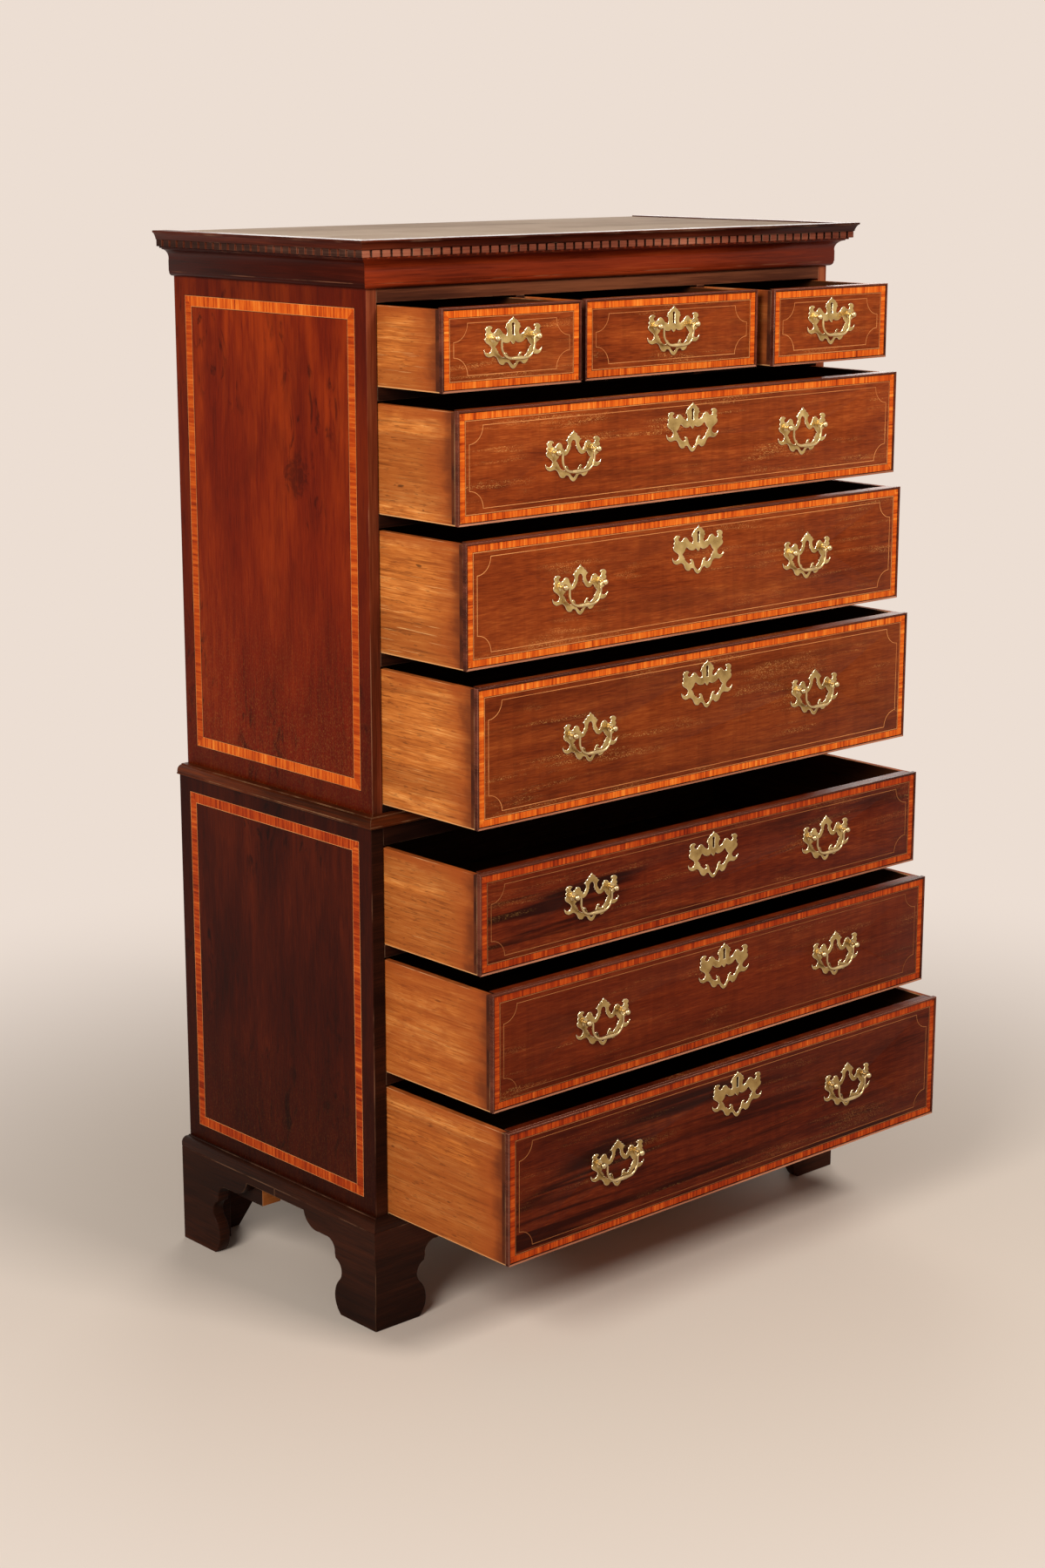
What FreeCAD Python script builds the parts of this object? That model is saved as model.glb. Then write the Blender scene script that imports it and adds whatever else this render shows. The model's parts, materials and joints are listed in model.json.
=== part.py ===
import FreeCAD, Part
import math
import os

# Chest on chest: an upper case of three small and three long drawers stands on a lower
# case of three long drawers, which stands on four bracket feet.
# Millimetres. +Z is up, +X is right seen from the front, and the front faces -Y.
# The origin is on the floor, under the middle of the whole piece with its drawers drawn out.
# Every drawer is drawn out by its own amount, and every handle hangs.

# The two cases
lower_width = 1092.0
lower_depth = 526.0
lower_side_thickness = 25.0
upper_side_thickness = 21.0
waist_step = 18.0
foot_height = 175.0

# Boards and rails that both cases share
board_thickness = 18.0
rail_thickness = 22.0
rail_depth = 60.0
upper_base_rail_height = 30.0
back_board_thickness = 12.0
back_rebate_width = 10.0
back_board_gap = 0.5
upper_back_board_count = 4
lower_back_board_count = 3

# Dust frames between the rows: runners, thin boards, guides and the strips over a drawer
runner_width = 35.0
dust_board_thickness = 8.0
runner_lap = 20.0
guide_height = 15.0
kicker_height = 14.0
divider_thickness = 17.0

# Drawer stops glued on the rails, behind the drawer fronts
stop_width = 50.0
stop_depth = 25.0
stop_height = 6.0
stop_gap = 0.4
stop_inset = 70.0

# Drawer rows, from the bottom of each case upwards: height and how far it is drawn out
lower_row_heights = [223.0, 194.0, 164.0]
lower_row_draws = [297.0, 261.0, 232.0]
upper_row_heights = [224.0, 197.0, 175.0]
upper_row_draws = [229.0, 204.0, 187.0]
small_row_height = 127.0
small_row_draws = [152.0, 141.0, 161.0]
small_side_drawer_width = 288.0

# Running gaps of a drawer in its opening
drawer_side_gap = 1.5
drawer_under_gap = 0.4
drawer_over_gap = 1.6
drawer_rear_gap = 14.0

# A drawer's own boards
front_thickness = 20.0
front_lap = 6.0
drawer_side_thickness = 11.0
drawer_side_drop = 2.0
drawer_back_thickness = 11.0
drawer_back_drop = 12.0
drawer_bottom_thickness = 8.0
drawer_bottom_rise = 9.0
groove_depth = 5.0
cockbead_width = 3.0
cockbead_proud = 2.0

# Cornice: a cove, a course of dentils and a crown moulding, with a board over all
cove_height = 49.0
cove_projection = 27.5
dentil_course_height = 11.0
dentil_ground_projection = 29.0
dentil_proud = 4.0
dentil_width = 15.0
dentil_gap_width = 5.0
crown_height = 15.0
crown_projection = 41.0
crown_width = 30.0
cornice_board_drop = 2.0
cornice_board_count = 3

# Waist moulding on the lower case, round the foot of the upper one
waist_height = 17.0
waist_overhang = 6.0
waist_gap = 0.3

# Base moulding and bracket feet
base_moulding_height = 18.0
base_projection = 19.0
bracket_thickness = 22.0
corner_block_width = 38.0
corner_block_floor_gap = 3.0
base_block_width = 40.0
base_block_length = 75.0
base_block_height = 60.0
base_block_from_back = 133.0

# Brass furniture of the drawers
plate_half_width = 60.0
plate_half_height = 40.5
plate_thickness = 1.8
post_half_spacing = 43.0
post_rise = 9.0
post_reach = 13.0
ball_radius = 5.2
neck_radius = 2.8
collar_radius = 6.5
collar_thickness = 2.0
shank_radius = 2.5
bore_clearance = 0.2
nut_radius = 6.0
nut_thickness = 4.0
shank_end = 1.0
keyhole_radius = 3.0
keyhole_slot_half_width = 2.2
keyhole_rise = 27.5
keyhole_slot_end = 12.0
lock_width = 56.0
lock_height = 40.0
lock_thickness = 9.0

# Bail handle: pins in the ball posts, slim arms and a swelled grip
bail_pin_radius = 1.6
bail_pin_clearance = 0.09
bail_pin_end_gap = 0.6
bail_pin_depth = 4.0
bail_arm_inset = 9.0
bail_elbow_radius = 3.5
bail_arm_radius = 1.9
bail_grip_radius = 3.7
bail_drop = 32.0
bail_corner_radius = 20.0
bail_elbow_sections = 4
bail_corner_sections = 8

# Where the handles and escutcheons go on the drawer fronts
upper_handle_spacing = 532.0
lower_handle_spacing = 562.0
handle_rise_from_middle = 2.0
plate_tip_below_top = 19.0
small_plate_tip_below_top = 17.0

# Outlines as shares of the size of their own piece
cove_shares = [(0.0, 0.0), (0.13, 0.0), (0.28, 0.05, 0.33, 0.15), (0.36, 0.16), (0.36, 0.52),
               (0.47, 0.79, 0.84, 0.90), (0.84, 0.94), (1.0, 0.94), (1.0, 1.0), (0.0, 1.0)]
crown_outer_shares = [(0.78, 0.0), (0.84, 0.42, 0.94, 0.74), (1.0, 0.78), (1.0, 1.0), (0.0, 1.0)]
waist_shares = [(0.0, 0.0), (1.0, 0.0), (1.0, 0.18), (0.95, 0.18), (0.87, 0.68, 0.62, 0.90),
                (0.57, 0.90), (0.57, 1.0), (0.0, 1.0)]
base_shares = [(0.0, 0.0), (1.0, 0.0), (1.0, 0.2), (0.85, 0.76, 0.28, 0.93), (0.22, 0.93),
               (0.22, 1.0), (0.0, 1.0)]
bracket_shares = [(0.0, 0.0), (0.345, 0.0), (0.400, 0.150, 0.360, 0.354), (0.333, 0.457, 0.390, 0.566),
                  (0.397, 0.617), (0.418, 0.714, 0.485, 0.749), (0.551, 0.752),
                  (0.654, 0.789, 0.706, 0.909), (1.0, 0.909), (1.0, 1.0), (0.0, 1.0)]
rear_bracket_shares = [(0.0, 0.0), (0.39, 0.0), (0.85, 0.86), (0.85, 1.0), (0.0, 1.0)]
plate_shares = [(0.0, 1.0), (0.06, 0.877), (0.087, 0.854, 0.083, 0.795), (0.160, 0.780, 0.173, 0.691),
                (0.227, 0.667, 0.223, 0.607), (0.292, 0.667), (0.247, 0.556, 0.213, 0.494),
                (0.192, 0.306, 0.308, 0.252), (0.335, 0.275, 0.342, 0.333), (0.392, 0.358, 0.387, 0.432),
                (0.453, 0.457, 0.457, 0.551), (0.573, 0.640, 0.687, 0.538), (0.758, 0.484, 0.825, 0.580),
                (0.837, 0.654, 0.803, 0.696), (0.742, 0.706), (0.770, 0.790, 0.858, 0.765),
                (0.883, 0.740), (0.958, 0.815, 1.0, 0.704), (0.967, 0.630, 0.943, 0.551),
                (1.0, 0.469, 0.953, 0.365), (1.0, 0.272, 0.960, 0.158), (0.892, 0.044, 0.792, 0.064),
                (0.720, -0.037, 0.727, -0.170), (0.797, -0.262, 0.925, -0.198),
                (0.910, -0.383, 0.798, -0.440), (0.747, -0.390), (0.680, -0.474, 0.587, -0.440),
                (0.560, -0.617, 0.458, -0.696), (0.375, -0.765, 0.320, -0.696), (0.275, -0.778),
                (0.233, -0.778, 0.133, -0.820), (0.113, -0.795), (0.053, -0.889), (0.0, -1.0)]
keyed_void_shares = [(0.0, 0.074), (0.050, 0.148), (0.113, 0.185, 0.110, 0.316), (0.143, 0.356),
                     (0.160, 0.222), (0.208, 0.049, 0.333, 0.064)]
open_void_shares = [(0.0, 0.642), (0.033, 0.494, 0.117, 0.333), (0.160, 0.222), (0.208, 0.049, 0.333, 0.064)]
lower_void_shares = [(0.433, 0.099, 0.492, 0.012), (0.542, -0.099, 0.517, -0.222), (0.483, -0.136),
                     (0.458, -0.222), (0.442, -0.358, 0.358, -0.457), (0.307, -0.440),
                     (0.342, -0.326), (0.283, -0.291, 0.237, -0.390), (0.213, -0.494, 0.153, -0.578),
                     (0.083, -0.630, 0.0, -0.815)]
grip_shoulder_share = 0.42
grip_corner_swell_share = 0.5
grip_quarter_swell_share = 0.875


# Levels and planes that follow from the sizes above
furthest_draw = max(lower_row_draws
                    + [draw - waist_step for draw in upper_row_draws + small_row_draws])
overall_depth = lower_depth + furthest_draw + post_reach + ball_radius
back_y = overall_depth / 2
upper_width = lower_width - 2 * waist_step
upper_depth = lower_depth - waist_step
crown_inner_projection = crown_projection - crown_width
row_clearance = drawer_under_gap + drawer_over_gap


class Case:
    """One case of drawers: its outside, its inside and the openings of its rows."""

    def __init__(self, width, depth, side, bottom, base_height, row_heights, top_rail_height):
        self.half = width / 2
        self.inner = width / 2 - side
        self.front = back_y - depth
        self.bottom = bottom
        self.openings = []
        level = bottom + base_height
        for height in row_heights:
            self.openings.append((level, level + height + row_clearance))
            level += height + row_clearance + rail_thickness
        self.rail_levels = [high for low, high in self.openings[:-1]]
        self.top_rail = self.openings[-1][1]
        self.rail_top = self.top_rail + top_rail_height
        self.back_face = back_y - back_board_thickness
        self.frame_start = self.front + rail_depth
        self.drawer_length = depth - back_board_thickness - drawer_rear_gap


lower = Case(lower_width, lower_depth, lower_side_thickness, foot_height, board_thickness,
             lower_row_heights, kicker_height + board_thickness)
lower.top = lower.rail_top
upper = Case(upper_width, upper_depth, upper_side_thickness, lower.top, upper_base_rail_height,
             upper_row_heights + [small_row_height], rail_thickness)
upper.top = upper.rail_top + cove_height + dentil_course_height
overall_height = upper.top + crown_height
middle_drawer_width = 2 * (upper.inner - small_side_drawer_width - divider_thickness
                           - 3 * drawer_side_gap)
divider_x = middle_drawer_width / 2 + drawer_side_gap + divider_thickness / 2
small_side_x = upper.inner - drawer_side_gap - small_side_drawer_width / 2


def box(x0, x1, y0, y1, z0, z1):
    """A plain board between two corners."""
    return Part.makeBox(x1 - x0, y1 - y0, z1 - z0, FreeCAD.Vector(x0, y0, z0))


def outline_edges(shares, place):
    """Edges through a list of points: a pair is a corner, four values are an arc and its end."""
    edges = []
    here = place(*shares[0])
    for step in shares[1:]:
        there = place(*step[-2:])
        if len(step) == 2:
            edges.append(Part.LineSegment(here, there).toShape())
        else:
            edges.append(Part.Arc(here, place(*step[:2]), there).toShape())
        here = there
    return edges


def prism(shares, place, direction):
    """A solid of constant section: the closed outline, pushed along a direction."""
    edges = outline_edges(shares + [shares[0]], place)
    return Part.Face(Part.Wire(edges)).extrude(direction)


def plan_prism(points, z0, z1):
    """A solid with its outline in plan, between two levels."""
    wire = Part.makePolygon([FreeCAD.Vector(x, y, z0) for x, y in points + [points[0]]])
    return Part.Face(wire).extrude(FreeCAD.Vector(0, 0, z1 - z0))


def mirrored(shape):
    """The same piece on the right instead of the left."""
    return shape.mirror(FreeCAD.Vector(0, 0, 0), FreeCAD.Vector(1, 0, 0))


def write(node, solids):
    """One file for a node: a single solid, or a group of separate ones."""
    shape = solids[0] if len(solids) == 1 else Part.makeCompound(solids)
    shape.exportStep("parts/" + node + ".step")


def case_sides(case):
    """Both side boards, each rebated at the back for the back boards."""
    board = box(-case.half, -case.inner, case.front, back_y, case.bottom, case.top)
    rebate = box(-case.inner - back_rebate_width, -case.inner, case.back_face, back_y,
                 case.bottom, case.top)
    left = board.cut(rebate)
    return [left, mirrored(left)]


def case_boards(case, floor_start, roof_start, roof_top):
    """Floor and roof boards between the sides."""
    floor_top = case.openings[0][0]
    return [box(-case.inner, case.inner, floor_start, case.back_face,
                floor_top - board_thickness, floor_top),
            box(-case.inner, case.inner, roof_start, case.back_face,
                roof_top - board_thickness, roof_top)]


def back_boards(case, count):
    """Level boards, one over the other, in the rebates of the sides."""
    reach = case.inner + back_rebate_width
    pitch = (case.top - case.bottom + back_board_gap) / count
    return [box(-reach, reach, case.back_face, back_y, case.bottom + pitch * index,
                case.bottom + pitch * (index + 1) - back_board_gap) for index in range(count)]


def stops(case, low, centre, width):
    """Two blocks on the rail that stop a drawer when it is closed."""
    start = case.front + front_thickness + stop_gap
    inset = min(stop_inset, width / 2 - stop_width)
    blocks = []
    for side in (-1, 1):
        middle = centre + side * (width / 2 - inset)
        blocks.append(box(middle - stop_width / 2, middle + stop_width / 2, start,
                          start + stop_depth, low, low + stop_height))
    return blocks


def case_rails(case):
    """The level rails between the rows, and the rail over the top row."""
    rails = [box(-case.inner, case.inner, case.front, case.frame_start, level,
                 level + rail_thickness) for level in case.rail_levels]
    rails.append(box(-case.inner, case.inner, case.front, case.frame_start, case.top_rail,
                     case.rail_top))
    return rails


def side_strips(case, low, high):
    """A strip along each side, behind the rails."""
    strip = box(-case.inner, -case.inner + runner_width, case.frame_start, case.back_face, low, high)
    return [strip, mirrored(strip)]


def middle_strips(case, width, low, high):
    """A strip behind each upright divider of the small drawers."""
    strip = box(-divider_x - width / 2, -divider_x + width / 2, case.frame_start,
                case.back_face, low, high)
    return [strip, mirrored(strip)]


def dust_boards(case, level, edges):
    """Thin boards between the runners, at half the height of the rail."""
    low = level + (rail_thickness - dust_board_thickness) / 2
    return [box(start, end, case.frame_start, case.back_face, low, low + dust_board_thickness)
            for start, end in edges]


def dust_frames(case):
    """Runners and dust boards under each row above the first, and strips over the top row."""
    solids = side_strips(case, case.top_rail, case.top_rail + kicker_height)
    start = case.inner - runner_width
    for level in case.rail_levels:
        solids += side_strips(case, level, level + rail_thickness)
        edges = [(-start, start)]
        if case is upper and level == case.rail_levels[-1]:
            lap = divider_thickness / 2 + runner_lap
            edges = [(-start, -divider_x - lap), (-divider_x + lap, divider_x - lap),
                     (divider_x + lap, start)]
        solids += dust_boards(case, level, edges)
    return solids


def small_row_frame():
    """Under and between the small drawers: middle runners, guides, and strips over them."""
    level = upper.rail_levels[-1]
    low, high = upper.openings[-1]
    width = divider_thickness + 2 * runner_lap
    return (middle_strips(upper, width, level, level + rail_thickness)
            + middle_strips(upper, divider_thickness, low, low + guide_height)
            + middle_strips(upper, width, high, high + kicker_height))


def moulding(profile, case, inner_offset, reach, low, back_end):
    """Three mitred lengths round the front and sides; the profile faces outwards."""
    face_x = case.half + inner_offset
    face_y = case.front - inner_offset
    outer_x = face_x + reach
    outer_y = face_y - reach
    high = low + profile[1]
    front = prism(profile[0], lambda o, z: FreeCAD.Vector(-outer_x, face_y - o * reach,
                                                          low + z * profile[1]),
                  FreeCAD.Vector(2 * outer_x, 0, 0))
    side = prism(profile[0], lambda o, z: FreeCAD.Vector(-face_x - o * reach, outer_y,
                                                         low + z * profile[1]),
                 FreeCAD.Vector(0, back_end - outer_y, 0))
    front_plan = [(-outer_x, outer_y), (outer_x, outer_y), (face_x, face_y), (-face_x, face_y)]
    side_plan = [(-outer_x, outer_y), (-face_x, face_y), (-face_x, back_end), (-outer_x, back_end)]
    left = side.common(plan_prism(side_plan, low, high))
    return [left, front.common(plan_prism(front_plan, low, high)), mirrored(left)]


def toothed_edge(length):
    """Places along a strip where the dentils begin and end, with a dentil at both ends."""
    count = max(2, round((length - dentil_width) / (dentil_width + dentil_gap_width)) + 1)
    pitch = (length - dentil_width) / (count - 1)
    return [(index * pitch, index * pitch + dentil_width) for index in range(count)]


def dentil_course():
    """Three mitred strips, each cut into a row of small blocks along its face."""
    low = upper.rail_top + cove_height
    high = low + dentil_course_height
    ground = dentil_ground_projection
    tip = ground + dentil_proud
    corner_x = upper.half + tip
    corner_y = upper.front - tip
    front = [(-upper.half, upper.front), (-corner_x, corner_y)]
    for start, end in toothed_edge(2 * corner_x):
        start_x = start - corner_x
        end_x = end - corner_x
        if start > 0:
            front += [(start_x, corner_y + dentil_proud), (start_x, corner_y)]
        front += [(end_x, corner_y)]
        if end_x < corner_x - dentil_width / 2:
            front += [(end_x, corner_y + dentil_proud)]
    front += [(upper.half, upper.front)]
    side = [(-upper.half, upper.front), (-corner_x, corner_y)]
    length = back_y - corner_y
    for start, end in toothed_edge(length):
        if start > 0:
            side += [(-corner_x + dentil_proud, corner_y + start), (-corner_x, corner_y + start)]
        side += [(-corner_x, corner_y + end)]
        if end < length - dentil_width / 2:
            side += [(-corner_x + dentil_proud, corner_y + end)]
    side += [(-upper.half, back_y)]
    left = plan_prism(side, low, high)
    return [left, plan_prism(front, low, high), mirrored(left)]


def cornice_boards():
    """The dust cover over the upper case, inside the crown moulding."""
    reach = upper.half + crown_inner_projection
    start = upper.front - crown_inner_projection
    pitch = (back_y - start + back_board_gap) / cornice_board_count
    high = overall_height - cornice_board_drop
    return [box(-reach, reach, start + pitch * index, start + pitch * (index + 1) - back_board_gap,
                upper.top, high) for index in range(cornice_board_count)]


def bracket(shares, corner, along, inward, length):
    """One shaped board of a foot: its outline, its thickness and its mitre."""
    def place(share, height):
        return corner + along * (share * length) + FreeCAD.Vector(0, 0, height * foot_height)
    depth = inward * bracket_thickness
    board = prism(shares, place, depth)
    wedge = Part.Face(Part.makePolygon([corner, corner + depth,
                                        corner + depth + along * bracket_thickness, corner]))
    return board.cut(wedge.extrude(FreeCAD.Vector(0, 0, foot_height)))


foot_x = lower.half + base_projection
foot_front = lower.front - base_projection
bracket_length = (back_y - foot_front) / 2
to_right = FreeCAD.Vector(1, 0, 0)
to_back = FreeCAD.Vector(0, 1, 0)


def corner_block(x, y, along_y):
    """The square post glued into the corner of a foot."""
    y0, y1 = sorted((y, y + along_y * corner_block_width))
    return box(x, x + corner_block_width, y0, y1, corner_block_floor_gap, foot_height)


def front_foot():
    """The left front foot: two shaped brackets, mitred, and the post behind them."""
    corner = FreeCAD.Vector(-foot_x, foot_front, 0)
    return [bracket(bracket_shares, corner, to_right, to_back, bracket_length),
            bracket(bracket_shares, corner, to_back, to_right, bracket_length),
            corner_block(-foot_x + bracket_thickness, foot_front + bracket_thickness, 1)]


def rear_foot():
    """The left rear foot: a shaped side bracket, a plain rear one, a post and a base block."""
    corner = FreeCAD.Vector(-foot_x, back_y, 0)
    inner = -foot_x + bracket_thickness
    block_start = back_y - base_block_from_back - base_block_length
    return [bracket(bracket_shares, corner, to_back * -1, to_right, bracket_length),
            bracket(rear_bracket_shares, corner, to_right, to_back * -1, bracket_length),
            corner_block(inner, back_y - bracket_thickness, -1),
            box(inner, inner + base_block_width, block_start, block_start + base_block_length,
                foot_height - base_block_height, foot_height)]


def keyhole(x, z, y0, y1):
    """The solid to cut for a keyhole: a round with a slot below it."""
    top = z + keyhole_rise
    hole = Part.makeCylinder(keyhole_radius, y1 - y0, FreeCAD.Vector(x, y0, top), to_back)
    slot = box(x - keyhole_slot_half_width, x + keyhole_slot_half_width, y0, y1,
               z + keyhole_slot_end, top)
    return hole.fuse(slot)


def plate_place(side):
    """Where a share of the plate lies, on its left or its right half."""
    return lambda u, v: FreeCAD.Vector(side * u * plate_half_width, 0, v * plate_half_height)


def plate_solid(shares):
    """Both halves of a symmetrical outline, pushed forwards to the plate's thickness."""
    edges = outline_edges(shares, plate_place(1)) + outline_edges(shares, plate_place(-1))
    wire = Part.Wire(Part.__sortEdges__(edges))
    return Part.Face(wire).extrude(to_back * -plate_thickness)


def pierced_plate(void_shares, keyed, posted):
    """A pierced plate, with or without a keyhole and the two holes for its posts."""
    plate = plate_solid(plate_shares).cut(plate_solid(void_shares + lower_void_shares))
    if keyed:
        plate = plate.cut(keyhole(0, 0, -plate_thickness, 0))
    if posted:
        for side in (-1, 1):
            centre = FreeCAD.Vector(side * post_half_spacing, -plate_thickness, post_rise)
            plate = plate.cut(Part.makeCylinder(shank_radius + bore_clearance, plate_thickness,
                                                centre, to_back))
    return plate


def post():
    """A turned post about the Y axis: ball, neck, collar and the bolt through the front."""
    collar_y = -plate_thickness - collar_thickness
    end_y = front_thickness + nut_thickness + shank_end
    neck_y = -post_reach + math.sqrt(ball_radius ** 2 - neck_radius ** 2)
    tip = FreeCAD.Vector(0, -post_reach - ball_radius, 0)
    quarter = FreeCAD.Vector(ball_radius, -post_reach, 0)
    neck = FreeCAD.Vector(neck_radius, neck_y, 0)
    turned = [neck, FreeCAD.Vector(neck_radius, collar_y, 0),
              FreeCAD.Vector(collar_radius, collar_y, 0),
              FreeCAD.Vector(collar_radius, -plate_thickness, 0),
              FreeCAD.Vector(shank_radius, -plate_thickness, 0),
              FreeCAD.Vector(shank_radius, end_y, 0), FreeCAD.Vector(0, end_y, 0), tip]
    edges = [Part.Arc(tip, quarter, neck).toShape()]
    edges += [Part.LineSegment(start, end).toShape() for start, end in zip(turned, turned[1:])]
    full_turn = 360
    return Part.Face(Part.Wire(edges)).revolve(FreeCAD.Vector(0, 0, 0), to_back, full_turn)


def handed_post(side):
    """A post with the blind hole that takes the pin of the bail, from the inner side."""
    pin_hole = Part.makeCylinder(bail_pin_radius + bail_pin_clearance,
                                 ball_radius + bail_pin_depth,
                                 FreeCAD.Vector(-side * ball_radius, -post_reach, 0),
                                 to_right * side)
    drilled = post().cut(pin_hole)
    return drilled.translated(FreeCAD.Vector(side * post_half_spacing, 0, post_rise))


def nut():
    """The round nut inside the drawer front."""
    start = FreeCAD.Vector(0, front_thickness, 0)
    ring = Part.makeCylinder(nut_radius, nut_thickness, start, to_back)
    return ring.cut(Part.makeCylinder(shank_radius + bore_clearance, nut_thickness, start, to_back))


def bail():
    """The hanging handle: two pins, two slim arms and a swelled grip, lofted as one."""
    arm_x = post_half_spacing - bail_arm_inset
    pin_x = post_half_spacing + bail_pin_depth - bail_pin_end_gap
    grip_x = arm_x - bail_corner_radius
    pin_swell = bail_arm_radius - bail_pin_radius
    grip_swell = bail_grip_radius - bail_arm_radius
    path = []
    for index in range(bail_elbow_sections + 1):
        share = index / bail_elbow_sections
        angle = math.pi / 2 * share
        path.append((arm_x + bail_elbow_radius * (1 - math.sin(angle)),
                     -bail_elbow_radius * (1 - math.cos(angle)),
                     math.pi + angle, bail_pin_radius + pin_swell * share))
    corner_z = -bail_drop + bail_corner_radius
    for index in range(bail_corner_sections + 1):
        share = index / bail_corner_sections
        angle = math.pi / 2 * share
        swell = max(0, (share - grip_shoulder_share) / (1 - grip_shoulder_share))
        path.append((grip_x + bail_corner_radius * math.cos(angle),
                     corner_z - bail_corner_radius * math.sin(angle), 3 * math.pi / 2 - angle,
                     bail_arm_radius + grip_swell * grip_corner_swell_share * swell))
    path.append((grip_x / 2, -bail_drop, math.pi,
                 bail_arm_radius + grip_swell * grip_quarter_swell_share))
    middle = [(0, -bail_drop, math.pi, bail_grip_radius)]
    other = [(-x, z, -heading, radius) for x, z, heading, radius in reversed(path)]
    sections = [(pin_x, 0, math.pi, bail_pin_radius)] + path + middle + other
    sections.append((-pin_x, 0, math.pi, bail_pin_radius))
    wires = []
    for x, z, heading, radius in sections:
        direction = FreeCAD.Vector(math.cos(heading), 0, math.sin(heading))
        circle = Part.Circle(FreeCAD.Vector(x, -post_reach, z + post_rise), direction, radius)
        wires.append(Part.Wire(circle.toShape()))
    return Part.makeLoft(wires, True, True)


def drawer_front(width, height, holes):
    """The front board: thin where it laps the sides, and drilled for its brasses."""
    lap = box(-width / 2 + cockbead_width, width / 2 - cockbead_width, 0, front_lap,
              cockbead_width, height - cockbead_width)
    core_half = width / 2 - drawer_side_thickness
    core = box(-core_half, core_half, front_lap, front_thickness, 0, height)
    groove = box(-core_half, core_half, front_thickness - groove_depth, front_thickness,
                 drawer_bottom_rise, drawer_bottom_rise + drawer_bottom_thickness)
    return lap.fuse(core).removeSplitter().cut([groove] + holes)


def cockbeads(width, height):
    """The thin proud bead round the front: four mitred strips."""
    half = width / 2
    inner = half - cockbead_width
    top = height - cockbead_width
    strips = [[(-half, 0), (half, 0), (inner, cockbead_width), (-inner, cockbead_width)],
              [(half, 0), (half, height), (inner, top), (inner, cockbead_width)],
              [(half, height), (-half, height), (-inner, top), (inner, top)],
              [(-half, height), (-half, 0), (-inner, cockbead_width), (-inner, top)]]
    solids = []
    for points in strips:
        corners = [FreeCAD.Vector(x, -cockbead_proud, z) for x, z in points + [points[0]]]
        solids.append(Part.Face(Part.makePolygon(corners)).extrude(
            to_back * (cockbead_proud + front_lap)))
    return solids


def drawer_box(width, height, length):
    """Two sides, a back and a bottom held in grooves."""
    half = width / 2
    inner = half - drawer_side_thickness
    bottom_low = drawer_bottom_rise
    bottom_high = drawer_bottom_rise + drawer_bottom_thickness
    side = box(-half, -inner, front_lap, length, 0, height - drawer_side_drop)
    side = side.cut(box(-inner - groove_depth, -inner, front_lap, length, bottom_low, bottom_high))
    back = box(-inner, inner, length - drawer_back_thickness, length, bottom_high,
               height - drawer_back_drop)
    bottom = box(-inner - groove_depth, inner + groove_depth, front_thickness, length,
                 bottom_low, bottom_high)
    tongue = box(-inner, inner, front_thickness - groove_depth, front_thickness,
                 bottom_low, bottom_high)
    return [side, mirrored(side), back, bottom.fuse(tongue).removeSplitter()]


brass_patterns = {"keyed_handle": pierced_plate(keyed_void_shares, True, True),
                  "open_handle": pierced_plate(open_void_shares, False, True),
                  "escutcheon": pierced_plate(keyed_void_shares, True, False)}
posts = [handed_post(-1), handed_post(1)]
post_nut = nut()
hanging_bail = bail()


def brasses(fittings, height):
    """Plates, posts and nuts of one drawer, and the lock behind its keyhole."""
    solids = []
    for kind, x, z in fittings:
        place = FreeCAD.Vector(x, 0, z)
        solids.append(brass_patterns[kind].translated(place))
        if kind != "escutcheon":
            for side, turned in zip((-1, 1), posts):
                solids.append(turned.translated(place))
                solids.append(post_nut.translated(
                    place + FreeCAD.Vector(side * post_half_spacing, 0, post_rise)))
        if kind != "open_handle":
            middle = min(z + keyhole_rise, height - lock_height / 2)
            solids.append(box(x - lock_width / 2, x + lock_width / 2, front_thickness,
                              front_thickness + lock_thickness, middle - lock_height / 2,
                              middle + lock_height / 2))
    return solids


def front_holes(fittings):
    """What is drilled and cut through the front board for those brasses."""
    cuts = []
    for kind, x, z in fittings:
        if kind != "open_handle":
            cuts.append(keyhole(x, z, 0, front_thickness))
        if kind != "escutcheon":
            for side in (-1, 1):
                centre = FreeCAD.Vector(x + side * post_half_spacing, 0, z + post_rise)
                cuts.append(Part.makeCylinder(shank_radius + bore_clearance, front_thickness,
                                              centre, to_back))
    return cuts


def drawer(name, case, row, x, width, height, draw, fittings):
    """All the nodes of one drawer, put in its opening and drawn out."""
    place = FreeCAD.Vector(x, case.front - draw, case.openings[row][0] + drawer_under_gap)
    front = [drawer_front(width, height, front_holes(fittings))] + cockbeads(width, height)
    write(name + "_front", [solid.translated(place) for solid in front])
    boards = drawer_box(width, height, case.drawer_length)
    write(name + "_box", [solid.translated(place) for solid in boards])
    write(name + "_brasses", [solid.translated(place) for solid in brasses(fittings, height)])
    handles = [(px, pz) for kind, px, pz in fittings if kind != "escutcheon"]
    endings = ["_bail"] if len(handles) == 1 else ["_bail_left", "_bail_right"]
    for ending, (px, pz) in zip(endings, handles):
        write(name + ending, [hanging_bail.translated(place + FreeCAD.Vector(px, 0, pz))])


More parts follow.
